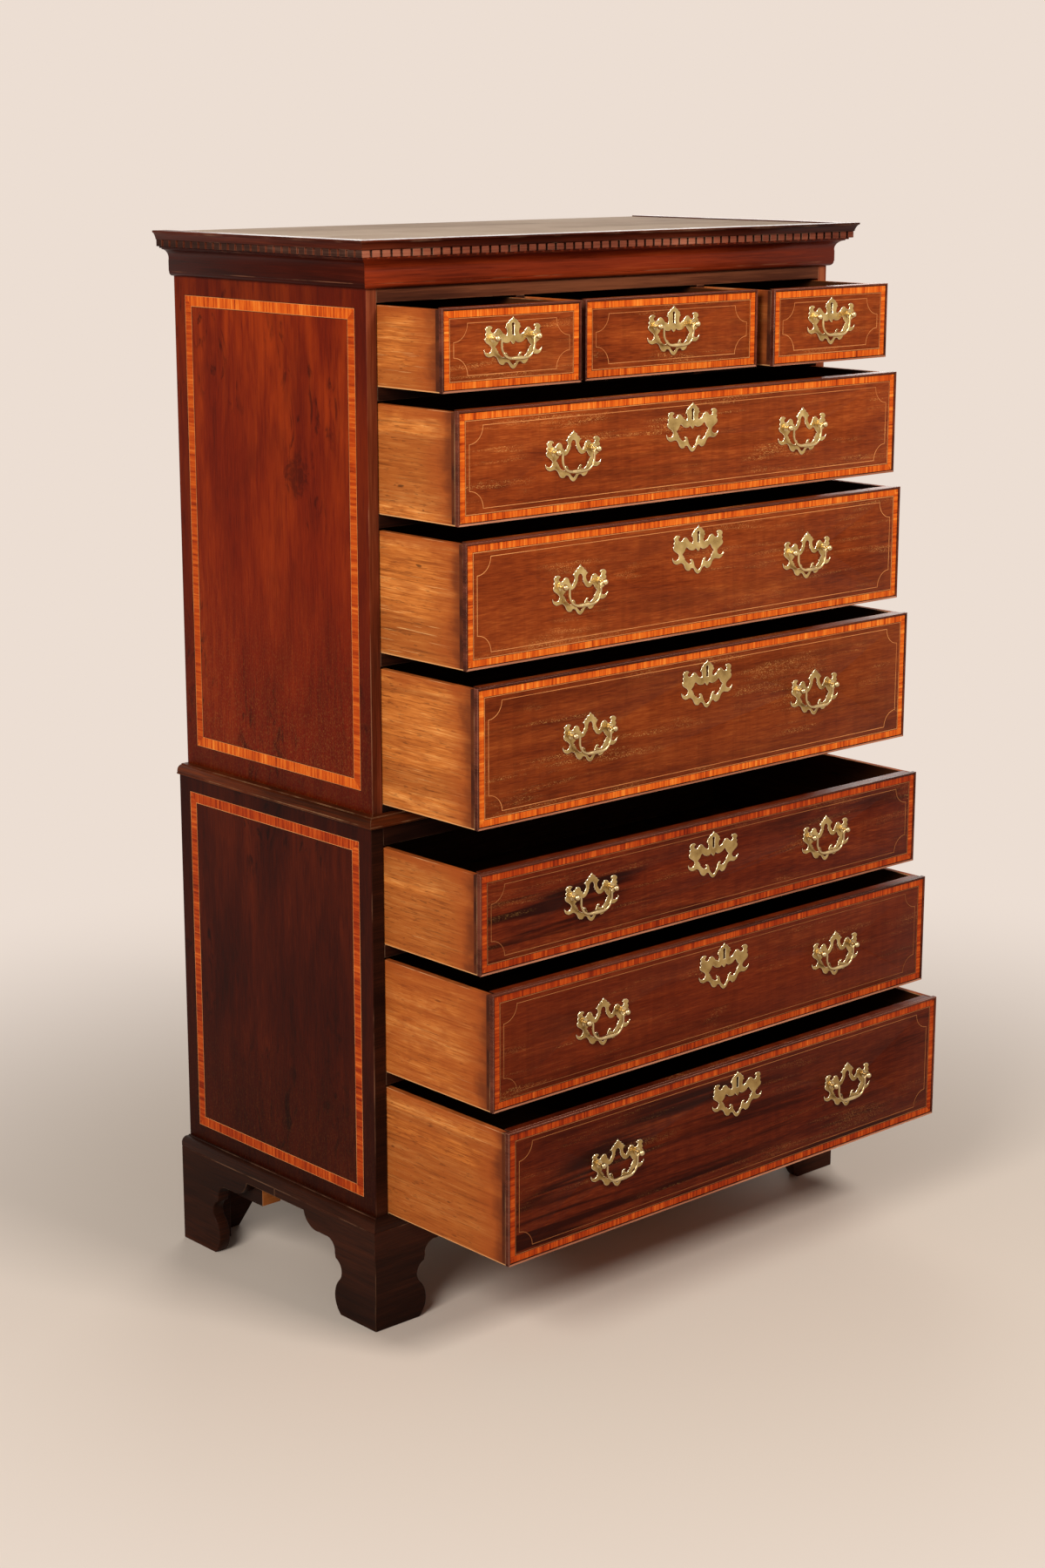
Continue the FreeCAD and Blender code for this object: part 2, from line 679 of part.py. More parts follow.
def long_drawers(case, prefix, heights, draws, spacing):
    """The full-width drawers of a case, named from the top down."""
    count = len(heights)
    width = 2 * (case.inner - drawer_side_gap)
    for row, (height, draw) in enumerate(zip(heights, draws)):
        handle_z = height / 2 + handle_rise_from_middle
        keyhole_z = height - plate_tip_below_top - plate_half_height
        fittings = [("open_handle", -spacing / 2, handle_z), ("escutcheon", 0, keyhole_z),
                    ("open_handle", spacing / 2, handle_z)]
        drawer(prefix + str(count - row), case, row, 0, width, height, draw, fittings)


def small_drawers():
    """The three short drawers of the top row."""
    plate_z = small_row_height - small_plate_tip_below_top - plate_half_height
    fittings = [("keyed_handle", 0, plate_z)]
    row = len(upper_row_heights)
    names = ["small_drawer_left", "small_drawer_middle", "small_drawer_right"]
    places = [-small_side_x, 0, small_side_x]
    widths = [small_side_drawer_width, middle_drawer_width, small_side_drawer_width]
    for name, x, width, draw in zip(names, places, widths, small_row_draws):
        drawer(name, upper, row, x, width, small_row_height, draw, fittings)


def all_stops(case, heights):
    """The stops of the full-width drawers of a case."""
    width = 2 * (case.inner - drawer_side_gap)
    solids = []
    for low, high in case.openings[:len(heights)]:
        solids += stops(case, low, 0, width)
    return solids


os.makedirs("parts", exist_ok=True)

# Lower case, base moulding and feet
write("lower_sides", case_sides(lower))
write("lower_boards", case_boards(lower, lower.front, lower.frame_start, lower.top))
write("lower_back_boards", back_boards(lower, lower_back_board_count))
write("lower_rails", case_rails(lower) + all_stops(lower, lower_row_heights))
write("lower_dust_frames", dust_frames(lower))
write("base_moulding", moulding((base_shares, base_moulding_height), lower, 0, base_projection,
                                foot_height, back_y))
front_left = front_foot()
write("front_feet", front_left + [mirrored(solid) for solid in front_left])
rear_left = rear_foot()
write("rear_feet", rear_left + [mirrored(solid) for solid in rear_left])
write("waist_moulding", moulding((waist_shares, waist_height), upper, waist_gap,
                                 waist_step + waist_overhang - waist_gap, lower.top, back_y))

# Upper case and cornice
write("upper_sides", case_sides(upper))
write("upper_boards", case_boards(upper, upper.frame_start, upper.front, upper.top))
write("upper_back_boards", back_boards(upper, upper_back_board_count))
base_rail = box(-upper.inner, upper.inner, upper.front, upper.frame_start, upper.bottom,
                upper.openings[0][0])
frieze = box(-upper.inner, upper.inner, upper.front, upper.front + board_thickness,
             upper.rail_top, upper.top - board_thickness)
divider = box(-divider_x - divider_thickness / 2, -divider_x + divider_thickness / 2,
              upper.front, upper.frame_start, *upper.openings[-1])
small_stops = []
for stop_x, stop_span in ((-small_side_x, small_side_drawer_width), (0, middle_drawer_width),
                          (small_side_x, small_side_drawer_width)):
    small_stops += stops(upper, upper.openings[-1][0], stop_x, stop_span)
write("upper_rails", case_rails(upper) + [base_rail, frieze, divider, mirrored(divider)]
      + all_stops(upper, upper_row_heights) + small_stops)
write("upper_dust_frames", dust_frames(upper) + small_row_frame())
write("cornice_cove", moulding((cove_shares, cove_height), upper, 0, cove_projection,
                               upper.rail_top, back_y))
write("cornice_dentils", dentil_course())
crown_shares = [(0.0, 0.0)] + crown_outer_shares
write("cornice_crown", moulding((crown_shares, crown_height), upper, crown_inner_projection,
                                crown_width, upper.top, back_y))
write("cornice_top", cornice_boards())

# Drawers, their brasses and their bails
long_drawers(lower, "lower_drawer_", lower_row_heights, lower_row_draws, lower_handle_spacing)
long_drawers(upper, "upper_drawer_", upper_row_heights, upper_row_draws, upper_handle_spacing)
small_drawers()
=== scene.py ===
import json
from math import radians

import bmesh
import bpy
from mathutils import Matrix, Vector

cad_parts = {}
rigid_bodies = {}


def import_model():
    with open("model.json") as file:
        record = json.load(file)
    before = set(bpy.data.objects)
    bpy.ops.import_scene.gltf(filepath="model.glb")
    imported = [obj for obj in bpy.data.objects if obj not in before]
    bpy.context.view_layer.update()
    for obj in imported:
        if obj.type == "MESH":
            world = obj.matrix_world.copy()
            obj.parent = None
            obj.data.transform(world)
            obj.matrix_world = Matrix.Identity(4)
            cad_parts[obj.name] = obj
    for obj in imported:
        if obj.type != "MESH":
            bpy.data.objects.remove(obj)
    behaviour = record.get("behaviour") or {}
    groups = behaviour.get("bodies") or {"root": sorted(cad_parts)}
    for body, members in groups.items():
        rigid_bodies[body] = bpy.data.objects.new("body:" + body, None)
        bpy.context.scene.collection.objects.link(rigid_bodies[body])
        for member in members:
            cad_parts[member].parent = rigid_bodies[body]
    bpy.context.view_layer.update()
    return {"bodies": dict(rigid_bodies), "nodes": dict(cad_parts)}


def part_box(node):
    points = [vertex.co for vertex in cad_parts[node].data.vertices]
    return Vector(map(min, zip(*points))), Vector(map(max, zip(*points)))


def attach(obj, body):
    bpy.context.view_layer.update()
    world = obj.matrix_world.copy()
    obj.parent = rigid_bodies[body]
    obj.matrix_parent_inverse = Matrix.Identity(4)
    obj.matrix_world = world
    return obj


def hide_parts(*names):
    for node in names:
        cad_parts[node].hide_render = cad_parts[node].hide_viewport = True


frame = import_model()
scene = bpy.context.scene
scene.view_settings.view_transform = "Standard"


# The room
# A plain pale floor and an equally pale background, with soft light from all round, a large
# lamp on the left, one in front and a weak one behind. Seen from the left, a little above.
class Value:
    """A value on its way through the nodes of a material; sums and products add Math nodes."""

    def __init__(self, tree, socket=None):
        self.tree = tree
        self.socket = socket

    def node(self, kind, settings, inputs, output=0):
        """Adds a node: its settings first, then the values or links of its sockets."""
        made = self.tree.nodes.new("ShaderNode" + kind)
        for name, setting in settings.items():
            if name == "stops":
                stops = made.color_ramp.elements
                stops.remove(stops[1])
                stops[0].position = setting[0][0]
                stops[0].color = (*setting[0][1], 1)
                for position, colour in setting[1:]:
                    stops.new(position).color = (*colour, 1)
            else:
                setattr(made, name, setting)
        for name, value in inputs.items():
            if isinstance(value, Value):
                self.tree.links.new(value.socket, made.inputs[name])
            else:
                made.inputs[name].default_value = value
        return Value(self.tree, made.outputs[output] if made.outputs else None)

    def math(self, operation, first, second):
        return self.node("Math", {"operation": operation}, {0: first, 1: second})

    def __add__(self, other):
        return self.math("ADD", self, other)

    def __radd__(self, other):
        return self.math("ADD", other, self)

    def __sub__(self, other):
        return self.math("SUBTRACT", self, other)

    def __rsub__(self, other):
        return self.math("SUBTRACT", other, self)

    def __mul__(self, other):
        return self.math("MULTIPLY", self, other)

    def __rmul__(self, other):
        return self.math("MULTIPLY", other, self)

    def rising(self, low, high):
        """0 below low, 1 above high, and even in between."""
        return self.node("MapRange", {"interpolation_type": "SMOOTHSTEP"},
                         {"Value": self, "From Min": low, "From Max": high})

    def towards(self, colour, share):
        """This colour, mixed with another by a share."""
        return self.node("Mix", {"data_type": "RGBA"}, {0: share, 6: self, 7: (*colour, 1)}, 2)


def blank_material(name):
    material = bpy.data.materials.new(name)
    material.use_nodes = True
    material.node_tree.nodes.clear()
    return material, Value(material.node_tree)


room_colour = (0.84, 0.73, 0.65)
lamp_colour = (1.0, 0.97, 0.93)
room_glow = 0.17
world = bpy.data.worlds.new("room")
scene.world = world
world.use_nodes = True
world.node_tree.nodes.clear()
air = Value(world.node_tree)
seen = air.math("MAXIMUM", air.node("LightPath", {}, {}, "Is Camera Ray"),
                air.node("LightPath", {}, {}, "Is Glossy Ray"))
seen = seen.math("MAXIMUM", seen, air.node("LightPath", {}, {}, "Is Transmission Ray"))
air.node("OutputWorld", {}, {"Surface": air.node("MixShader", {}, {
    0: seen,
    1: air.node("Background", {}, {"Color": (*lamp_colour, 1), "Strength": room_glow}),
    2: air.node("Background", {}, {"Color": (*room_colour, 1), "Strength": 1.0})})})

# the floor takes shadows near the chest and fades into the background further out
floor_reach, shadows_fade, shadows_end = 40, 0.55, 2.5
floor_mesh = bmesh.new()
bmesh.ops.create_grid(floor_mesh, x_segments=1, y_segments=1, size=floor_reach)
floor_data = bpy.data.meshes.new("floor")
floor_mesh.to_mesh(floor_data)
floor_mesh.free()
floor = bpy.data.objects.new("floor", floor_data)
scene.collection.objects.link(floor)
floor_material, ground = blank_material("pale_floor")
from_middle = ground.node("VectorMath", {"operation": "LENGTH"}, {
    0: ground.node("TexCoord", {}, {}, "Object")}, "Value")
ground.node("OutputMaterial", {}, {"Surface": ground.node("MixShader", {}, {
    0: from_middle.rising(shadows_fade, shadows_end),
    1: ground.node("BsdfPrincipled", {}, {"Base Color": (0.64, 0.55, 0.47, 1), "Roughness": 0.8,
                                          "Specular IOR Level": 0.2}),
    2: ground.node("Emission", {}, {"Color": (*room_colour, 1), "Strength": 1.0})})})
floor_data.materials.append(floor_material)

middle_of_chest = Vector((0, 0, 0.9))
# each lamp's place, its width and its power in watts
for lamp_name, lamp_place, lamp_size, lamp_power in (
        ("lamp_left", (-4.9, -1.9, 3.6), 2.4, 285), ("lamp_front", (0.8, -4.4, 4.3), 1.3, 215),
        ("lamp_back", (3.4, 3.6, 2.6), 2.6, 75)):
    lamp_data = bpy.data.lights.new(lamp_name, "AREA")
    lamp_data.size = lamp_size
    lamp_data.energy = lamp_power
    lamp_data.color = lamp_colour
    lamp = bpy.data.objects.new(lamp_name, lamp_data)
    lamp.location = lamp_place
    lamp.rotation_euler = (middle_of_chest - lamp.location).to_track_quat("-Z", "Y").to_euler()
    lamp.visible_camera = False
    scene.collection.objects.link(lamp)

turned_right, turned_down = 42.154, 13.53
camera = bpy.data.objects.new("camera", bpy.data.cameras.new("camera"))
camera.data.lens = 63.265
camera.data.sensor_width = 36
camera.location = (-3.2259, -3.4261, 1.9555)
camera.rotation_euler = (radians(90 - turned_down), 0, radians(-turned_right))
scene.collection.objects.link(camera)
scene.camera = camera


# Bracket feet
# Four feet of shaped mahogany boards, sawn to a scrolled outline and mitred at the corner, with
# a post and rough blocks glued inside. Nearly black, and rubbed pale along the corners.
mm = 0.001
micron = 0.001 * mm


def mark(start, name):
    """A number that the faces or corners of a mesh carry, such as how worn they are."""
    return start.node("Attribute", {"attribute_name": name}, {}, "Fac")


def grain(start, level, across, along, detail=2.0, shift=0.0, distortion=0.4):
    """Noise drawn out along the grain, with so many waves a metre across and along it.

    Each shift takes it from another place, and each board has a noise of its own.
    """
    scale = (along, along, across) if level else (across, across, along)
    place = start.node("Mapping", {}, {
        "Vector": start.node("TexCoord", {}, {}, "Object"), "Scale": scale,
        "Location": (shift, shift * 0.7, shift * 1.3)})
    return start.node("TexNoise", {"noise_dimensions": "4D"}, {
        "Vector": place, "W": mark(start, "board") * 3.1, "Scale": 1.0, "Detail": detail,
        "Roughness": 0.6, "Distortion": distortion})


def polished(start, colour, rubbed, roughness, ripple, ridge, wear):
    """Ends a wood: pale where its edges are rubbed, with a little gloss and a trace of grain."""
    wear_from, wear_full, wear_share = wear
    rubbing = mark(start, "worn") * grain(start, True, 9.0, 12.0, detail=3.0, shift=30.7).rising(
        wear_from, wear_full)
    bump = start.node("Bump", {}, {"Strength": ridge, "Distance": 0.5 * mm, "Height": ripple})
    start.node("OutputMaterial", {}, {"Surface": start.node("BsdfPrincipled", {}, {
        "Base Color": colour.towards(rubbed, rubbing * wear_share),
        "Roughness": roughness + 0.3 * (ripple - 0.5) + rubbing * 0.12,
        "Normal": bump, "Specular IOR Level": 0.04})})


def timber(name, level, tones, rubbed, roughness, figure=(7, 1.2), stripe=(45, 2.0),
           pores=(420, 14), weights=(1.3, 0.9, 0.5), ridge=0.15, change=None,
           wear=(0.46, 0.66, 0.5), odd_boards=0.0):
    """A wood with level or upright grain: broad figure, stripes, pores and rubbed edges.

    Figure, stripe and pores are given in waves a metre across and along the grain, and weights
    says how much each of them shows.
    """
    material, start = blank_material(name)
    broad = grain(start, level, *figure, detail=3.0, shift=1.7)
    stripes = grain(start, level, *stripe, detail=3.0, shift=4.1)
    fine = grain(start, level, *pores, detail=2.0, shift=8.3)
    shade = (0.5 + weights[0] * (broad - 0.5) + weights[1] * (stripes - 0.5)
             + weights[2] * (fine - 0.5))
    if odd_boards:
        # neighbouring boards come out lighter and darker
        board = mark(start, "board") * 0.61
        shade = shade + odd_boards * (board.math("FRACT", board, 0.0) - 0.5)
    colour = start.node("ValToRGB", {"stops": tones}, {"Fac": shade}, "Color")
    if change:
        colour = change(start, colour, broad)
    polished(start, colour, rubbed, roughness, stripes * 0.4 + fine * 0.6, ridge, wear)
    return material


def rub(shape, edges, width):
    """Rounds these edges and marks what is left of them as worn."""
    worn = shape.faces.layers.float.new("worn")
    made = bmesh.ops.bevel(shape, geom=edges, offset=width, offset_type="OFFSET",
                           affect="EDGES", segments=2, profile=0.5, clamp_overlap=True,
                           material=-1)
    for face in made["faces"]:
        face[worn] = 1


def eased(node, width):
    """The boards of a node with their edges rubbed round; each board has its own number."""
    shape = bmesh.new()
    shape.from_mesh(frame["nodes"][node].data)
    number = shape.faces.layers.float.new("board")
    # the triangles come board after board, and a board is whole when none of its edges is open
    open_edges = set()
    groups = [[]]
    for face in shape.faces:
        corners = [tuple(round(c / micron) for c in v.co) for v in face.verts]
        for first, second in zip(corners, corners[1:] + corners[:1]):
            if first != second:
                open_edges ^= {frozenset((first, second))}
        face[number] = len(groups)
        groups[-1] += face.verts
        if not open_edges:
            groups.append([])
    for group in groups:
        bmesh.ops.remove_doubles(shape, verts=list(dict.fromkeys(group)), dist=2 * micron)
    nearly_flat, sharp_from = radians(0.3), radians(30)
    bmesh.ops.dissolve_limit(shape, angle_limit=nearly_flat, verts=shape.verts,
                             edges=shape.edges)
    for face in shape.faces:
        face.smooth = False
    rub(shape, [edge for edge in shape.edges
                if edge.is_manifold and edge.calc_face_angle() > sharp_from], width)
    return shape


def piece(name, shape, body, slot, finishes, *nodes):
    """A finished piece: smooth where it is round, on its body, in place of its plain nodes."""
    shape.normal_update()
    curved_from, curved_to, rubbed_to = radians(0.5), radians(28), radians(50)
    worn = shape.faces.layers.float.get("worn")
    for edge in shape.edges:
        bend = edge.calc_face_angle(0) if len(edge.link_faces) == 2 else 0
        rubbed = [bool(worn and face[worn]) for face in edge.link_faces]
        edge.smooth = bend < (rubbed_to if all(rubbed) else curved_to)
        if edge.smooth and bend > curved_from and rubbed[0] == rubbed[-1]:
            for face in edge.link_faces:
                face.smooth = True
    mesh = bpy.data.meshes.new(name)
    shape.to_mesh(mesh)
    shape.free()
    for finish in finishes:
        mesh.materials.append(finish)
    made = bpy.data.objects.new(name, mesh)
    scene.collection.objects.link(made)
    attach(made, body)
    if nodes:
        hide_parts(*nodes)


foot_wood = timber("foot_mahogany", True,
                   [(0.25, (0.0085, 0.0035, 0.0025)), (0.5, (0.021, 0.0065, 0.0035)),
                    (0.8, (0.055, 0.014, 0.006))], rubbed=(0.22, 0.11, 0.06), roughness=0.40,
                   weights=(1.0, 0.5, 0.5))
raw_block = timber("raw_block", True, [(0.3, (0.30, 0.09, 0.02)), (0.7, (0.65, 0.24, 0.07))],
                   rubbed=(0.6, 0.35, 0.2), roughness=0.7)
# where the glued blocks behind the rear brackets lie, measured from the outside of the feet
block_drop, block_in, block_front, block_rear = 61 * mm, 22.5 * mm, 60 * mm, 125 * mm
for end in ("front", "rear"):
    shape = eased(end + "_feet", 1.4 * mm)
    low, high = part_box(end + "_feet")
    for face in shape.faces:
        middle = face.calc_center_median()
        # the blocks were never stained
        if end == "rear" and middle.z > high.z - block_drop and abs(middle.x) < high.x - block_in:
            face.material_index = int(low.y + block_front < middle.y < high.y - block_rear)
    piece(end + "_foot_boards", shape, "case", "carcase_mahogany", [foot_wood, raw_block],
          end + "_feet")


# Base moulding
# A rounded strip of mahogany, planed to an ovolo with a small fillet, mitred at the corners and
# glued to the lower case above the feet. As dark as they are.
piece("base_moulding_strips", eased("base_moulding", 0.8 * mm), "case", "carcase_mahogany",
      [foot_wood], "base_moulding")


# Sides of the lower case
# Solid boards of dark mahogany with upright grain. A frame of orange satinwood, laid across its
# grain between two fine pale lines, is let into each face.
inlay_depth = 0.4 * mm
inlay_proud = 0.15 * mm


def let_in(shape, low, high, facing, depth=inlay_depth, proud=inlay_proud):
    """Gives a flat inlay its thickness and lets it into a face, a hair proud of the wood."""
    bmesh.ops.solidify(shape, geom=shape.faces[:], thickness=depth)
    bmesh.ops.recalc_face_normals(shape, faces=shape.faces)
    top = max(v.co.z for v in shape.verts)
    middle = (low + high) / 2
    across, outward, place = {
        "front": ((1, 0, 0), (0, -1, 0), (middle.x, low.y, middle.z)),
        "left": ((0, -1, 0), (-1, 0, 0), (low.x, middle.y, middle.z)),
        "right": ((0, 1, 0), (1, 0, 0), (high.x, middle.y, middle.z))}[facing]
    turn = Matrix((across, (0, 0, 1), outward)).transposed().to_4x4()
    bmesh.ops.translate(shape, verts=shape.verts, vec=(0, 0, proud - top))
    bmesh.ops.transform(shape, matrix=Matrix.Translation(place) @ turn, verts=shape.verts)


def banding(low, high, facing, rings):
    """Flush rings of veneer, mitred at the corners; the first is the outermost."""
    shape = bmesh.new()
    # a square of one metre, drawn out to the size of the field
    bmesh.ops.create_grid(shape, x_segments=1, y_segments=1, size=0.5)
    across = high.x - low.x if facing == "front" else high.y - low.y
    bmesh.ops.scale(shape, verts=shape.verts, vec=(across, high.z - low.z, 1))
    field = shape.faces[:]
    for width, level_finish, upright_finish in rings:
        ring = bmesh.ops.inset_region(shape, faces=field, thickness=width,
                                      use_boundary=True, use_even_offset=True)["faces"]
        for face in ring:
            is_level = abs(face.calc_center_median().x) < micron
            face.material_index = level_finish if is_level else upright_finish
    bmesh.ops.delete(shape, geom=field, context="FACES")
    let_in(shape, low, high, facing)
    return shape


def satinwood(name, along_level, tones):
    """Crossbanding: ribs of lighter and darker wood that run across the band."""
    return timber(name, not along_level, tones, rubbed=(0.7, 0.4, 0.15), roughness=0.36,
                  figure=(14, 5), stripe=(200, 8), pores=(700, 60), weights=(0.5, 1.25, 0.3),
                  ridge=0.05)


def darker(tones, share):
    """The darkest of some tones, taken down to a share of itself."""
    return [part * share for part in tones[0][1]]


def side_board(name, tones, band_low, band_high, painted_top_light, painted_top_light_share, knot_share, fleck_share):
    """Upright figure with ripples, pale flecks and a dark knot, darker outside the banding, with
    painted light that brightens the flame towards the top.
    """
    def flame(start, colour, broad):
        place = start.node("TexCoord", {}, {}, "Object")
        y = start.node("SeparateXYZ", {}, {0: place}, "Y")
        z = start.node("SeparateXYZ", {}, {0: place}, "Z")
        ripple = grain(start, False, 75.0, 8.0, detail=3.0, shift=11.0)
        # painted light: the flame is painted brighter towards the top of the banding, as if lit
        # from above
        painted_top_light_mask = (z.rising(band_low.z, band_high.z) * broad.rising(0.40, 0.60)
               * ripple.rising(0.35, 0.62))
        clouds = grain(start, False, 11.0, 5.0, detail=4.0, shift=67.0,
                       distortion=0.8).rising(0.42, 0.66)
        knots = (grain(start, False, 34.0, 13.0, detail=3.0, shift=17.0,
                       distortion=1.6).rising(0.54, 0.68)
                 * grain(start, False, 5.0, 3.0, detail=1.0, shift=29.0).rising(0.50, 0.62))
        middle = (band_low + band_high) / 2
        half = (band_high - band_low) / 2
        # the knot stands near the front, above the middle; its reach is in square metres
        forward, up, knot_reach, raggedness = 0.32, 0.29, 0.0012, 0.0045
        knot_y = y - (middle.y - half.y * forward)
        knot_z = z - (middle.z + half.z * up)
        ragged = grain(start, False, 42.0, 30.0, detail=4.0, shift=83.0, distortion=2.2) - 0.5
        from_knot = knot_y * knot_y + knot_z * knot_z * 0.7 + ragged * raggedness
        flecks = (grain(start, False, 1400.0, 240.0, detail=1.0, shift=19.0).rising(0.57, 0.66)
                  * (1 - z.rising(band_low.z, middle.z)))
        fade = 3 * mm
        past_y = y.math("ABSOLUTE", y - middle.y, 0.0).rising(half.y - fade, half.y)
        past_z = z.math("ABSOLUTE", z - middle.z, 0.0).rising(half.z - fade, half.z)
        deep = darker(tones, 0.35)
        colour = colour.towards(painted_top_light, painted_top_light_mask * painted_top_light_share)
        colour = colour.towards(deep, clouds * 0.22)
        colour = colour.towards(deep, knots * 0.75)
        colour = colour.towards(deep, (1 - from_knot.rising(0.0, knot_reach)) * knot_share)
        colour = colour.towards((0.36, 0.15, 0.035), flecks * fleck_share)
        return colour.towards(deep, past_y.math("MAXIMUM", past_y, past_z) * 0.45)
    return timber(name, False, tones, rubbed=(0.26, 0.10, 0.05), roughness=0.34, figure=(9, 2.2),
                  stripe=(70, 5.0), pores=(420, 30), weights=(0.8, 0.4, 0.7), change=flame)


upper_satin_tones = [(0.20, (0.20, 0.018, 0.002)), (0.42, (0.48, 0.065, 0.005)),
                     (0.58, (0.62, 0.118, 0.009)), (0.80, (0.78, 0.250, 0.034))]
lower_satin_tones = [(0.20, (0.12, 0.009, 0.0015)), (0.42, (0.27, 0.025, 0.0025)),
                     (0.58, (0.40, 0.050, 0.0040)), (0.80, (0.58, 0.118, 0.015))]
pale_line = timber("boxwood_line", True, [(0.3, (0.44, 0.14, 0.04)), (0.7, (0.68, 0.28, 0.09))],
                   rubbed=(0.8, 0.5, 0.25), roughness=0.36)
dark_line = timber("dark_line", True, [(0.3, (0.012, 0.004, 0.003)), (0.7, (0.035, 0.01, 0.006))],
                   rubbed=(0.1, 0.05, 0.03), roughness=0.4)
lower_inlay = [satinwood("lower_satin_level", True, lower_satin_tones),
               satinwood("lower_satin_upright", False, lower_satin_tones), pale_line, dark_line]
dull_line = timber("dull_boxwood_line", True, [(0.3, (0.20, 0.060, 0.018)),
                                               (0.7, (0.36, 0.130, 0.040))],
                   rubbed=(0.5, 0.25, 0.12), roughness=0.36)
# the finishes of an inlay, in the order in which its list has them
band_level, band_upright, pale, dark = range(4)
fine_lines = [(0.7 * mm, dark, dark), (0.8 * mm, pale, pale)]
side_rings = fine_lines + [(16.2 * mm, band_level, band_upright)] + fine_lines[::-1]


def band_corners(low, high, from_front, from_rear, foot, head):
    """The corners of the banding on both sides of a case, as a box round the whole case."""
    return Vector((low.x, low.y + from_front, foot)), Vector((high.x, high.y - from_rear, head))


low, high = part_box("lower_sides")
band_low, band_high = band_corners(low, high, from_front=31 * mm, from_rear=30 * mm,
                                   foot=219.5 * mm, head=830 * mm)
lower_side_wood = side_board("lower_side_mahogany",
                             [(0.20, (0.014, 0.0018, 0.0004)), (0.42, (0.032, 0.0028, 0.0005)),
                              (0.58, (0.044, 0.0042, 0.0007)), (0.80, (0.080, 0.0100, 0.0020))],
                             band_low, band_high, painted_top_light=(0.095, 0.010, 0.001), painted_top_light_share=0.45,
                             knot_share=0.0, fleck_share=0.10)


def lipped(node, width):
    """Side boards whose front edges, between the drawers and the side, have a finish apart."""
    shape = eased(node, width)
    shape.normal_update()
    for face in shape.faces:
        face.material_index = int(face.normal.y < -0.6)
    return shape


piece("lower_side_boards", lipped("lower_sides", 1.2 * mm), "case", "lower_side_mahogany",
      [lower_side_wood, foot_wood], "lower_sides")
for facing in ("left", "right"):
    piece("lower_side_banding_" + facing, banding(band_low, band_high, facing, side_rings),
          "case", "lower_side_mahogany", lower_inlay)


# Rails, floors, backs and dust frames of both cases
# The rails that show between the drawers are mahogany. What is behind them is unpolished
# softwood, darkened by dust: floors, runners, thin boards and level back boards in rebates.
top_rail_wood = timber("top_rail_mahogany", True,
                       [(0.25, (0.022, 0.007, 0.004)), (0.5, (0.068, 0.018, 0.008)),
                        (0.8, (0.17, 0.050, 0.020))], rubbed=(0.34, 0.16, 0.08), roughness=0.42)
soft_wood = timber("softwood", True,
                   [(0.25, (0.050, 0.022, 0.010)), (0.5, (0.115, 0.056, 0.026)),
                    (0.8, (0.24, 0.13, 0.065))], rubbed=(0.3, 0.2, 0.11), roughness=0.75,
                   figure=(9, 0.9), stripe=(85, 1.6), pores=(520, 12),
                   weights=(0.9, 1.0, 0.7), odd_boards=0.34)
drawer_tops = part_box("small_drawer_middle_front")[1].z
for case_name in ("lower", "upper"):
    shape = eased(case_name + "_rails", 0.9 * mm)
    for face in shape.faces:
        # painted shade: the rails between the drawers take the near-black foot wood; the rail
        # under the cornice keeps its own lighter wood
        face.material_index = int(face.calc_center_median().z > drawer_tops - 1 * mm)
    piece(case_name + "_rail_boards", shape, "case", "carcase_mahogany",
          [foot_wood, top_rail_wood], case_name + "_rails")
    for part, width in (("_boards", 0.8 * mm), ("_back_boards", 2 * mm),
                        ("_dust_frames", 0.8 * mm)):
        piece(case_name + part + "_softwood", eased(case_name + part, width), "case",
              "secondary_wood", [soft_wood], case_name + part)


# Waist moulding
# A dark strip fixed on the lower case round the foot of the upper one. It has a flat top, a
# rounded nose and a small fillet, and its edges are bruised.
waist_wood = timber("waist_mahogany", True,
                    [(0.25, (0.028, 0.0066, 0.0022)), (0.5, (0.088, 0.0160, 0.0036)),
                     (0.8, (0.205, 0.042, 0.010))], rubbed=(0.46, 0.25, 0.12), roughness=0.40)
piece("waist_moulding_strips", eased("waist_moulding", 1 * mm), "case", "carcase_mahogany",
      [waist_wood], "waist_moulding")


# Sides of the upper case
# Boards of red-brown mahogany with a flame of lighter and darker upright streaks, polished, with
# the same inlaid frame as the lower case. The satinwood of the frame's uprights is darker.
low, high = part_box("upper_sides")
band_low, band_high = band_corners(low, high, from_front=28 * mm, from_rear=30 * mm,
                                   foot=907 * mm, head=1675 * mm)
upper_side_wood = side_board("upper_side_mahogany",
                             [(0.20, (0.070, 0.0045, 0.0005)), (0.42, (0.120, 0.0075, 0.0007)),
                              (0.58, (0.150, 0.0110, 0.0010)), (0.80, (0.225, 0.0260, 0.0030))],
                             band_low, band_high, painted_top_light=(0.31, 0.034, 0.002), painted_top_light_share=0.60,
                             knot_share=0.6, fleck_share=0.35)
upper_inlay = [satinwood("upper_satin_level", True, upper_satin_tones),
               satinwood("upper_satin_upright", False, upper_satin_tones), pale_line, dark_line]
side_satin_tones = [(0.20, (0.17, 0.014, 0.001)), (0.42, (0.36, 0.040, 0.003)),
                    (0.58, (0.46, 0.070, 0.005)), (0.80, (0.62, 0.150, 0.018))]
side_inlay = [upper_inlay[0], satinwood("upper_satin_side", False, side_satin_tones),
              pale_line, dark_line]
stile_wood = timber("stile_mahogany", False,
                    [(0.25, (0.060, 0.012, 0.005)), (0.5, (0.150, 0.030, 0.011)),
                     (0.8, (0.28, 0.075, 0.028))], rubbed=(0.34, 0.16, 0.08), roughness=0.40)
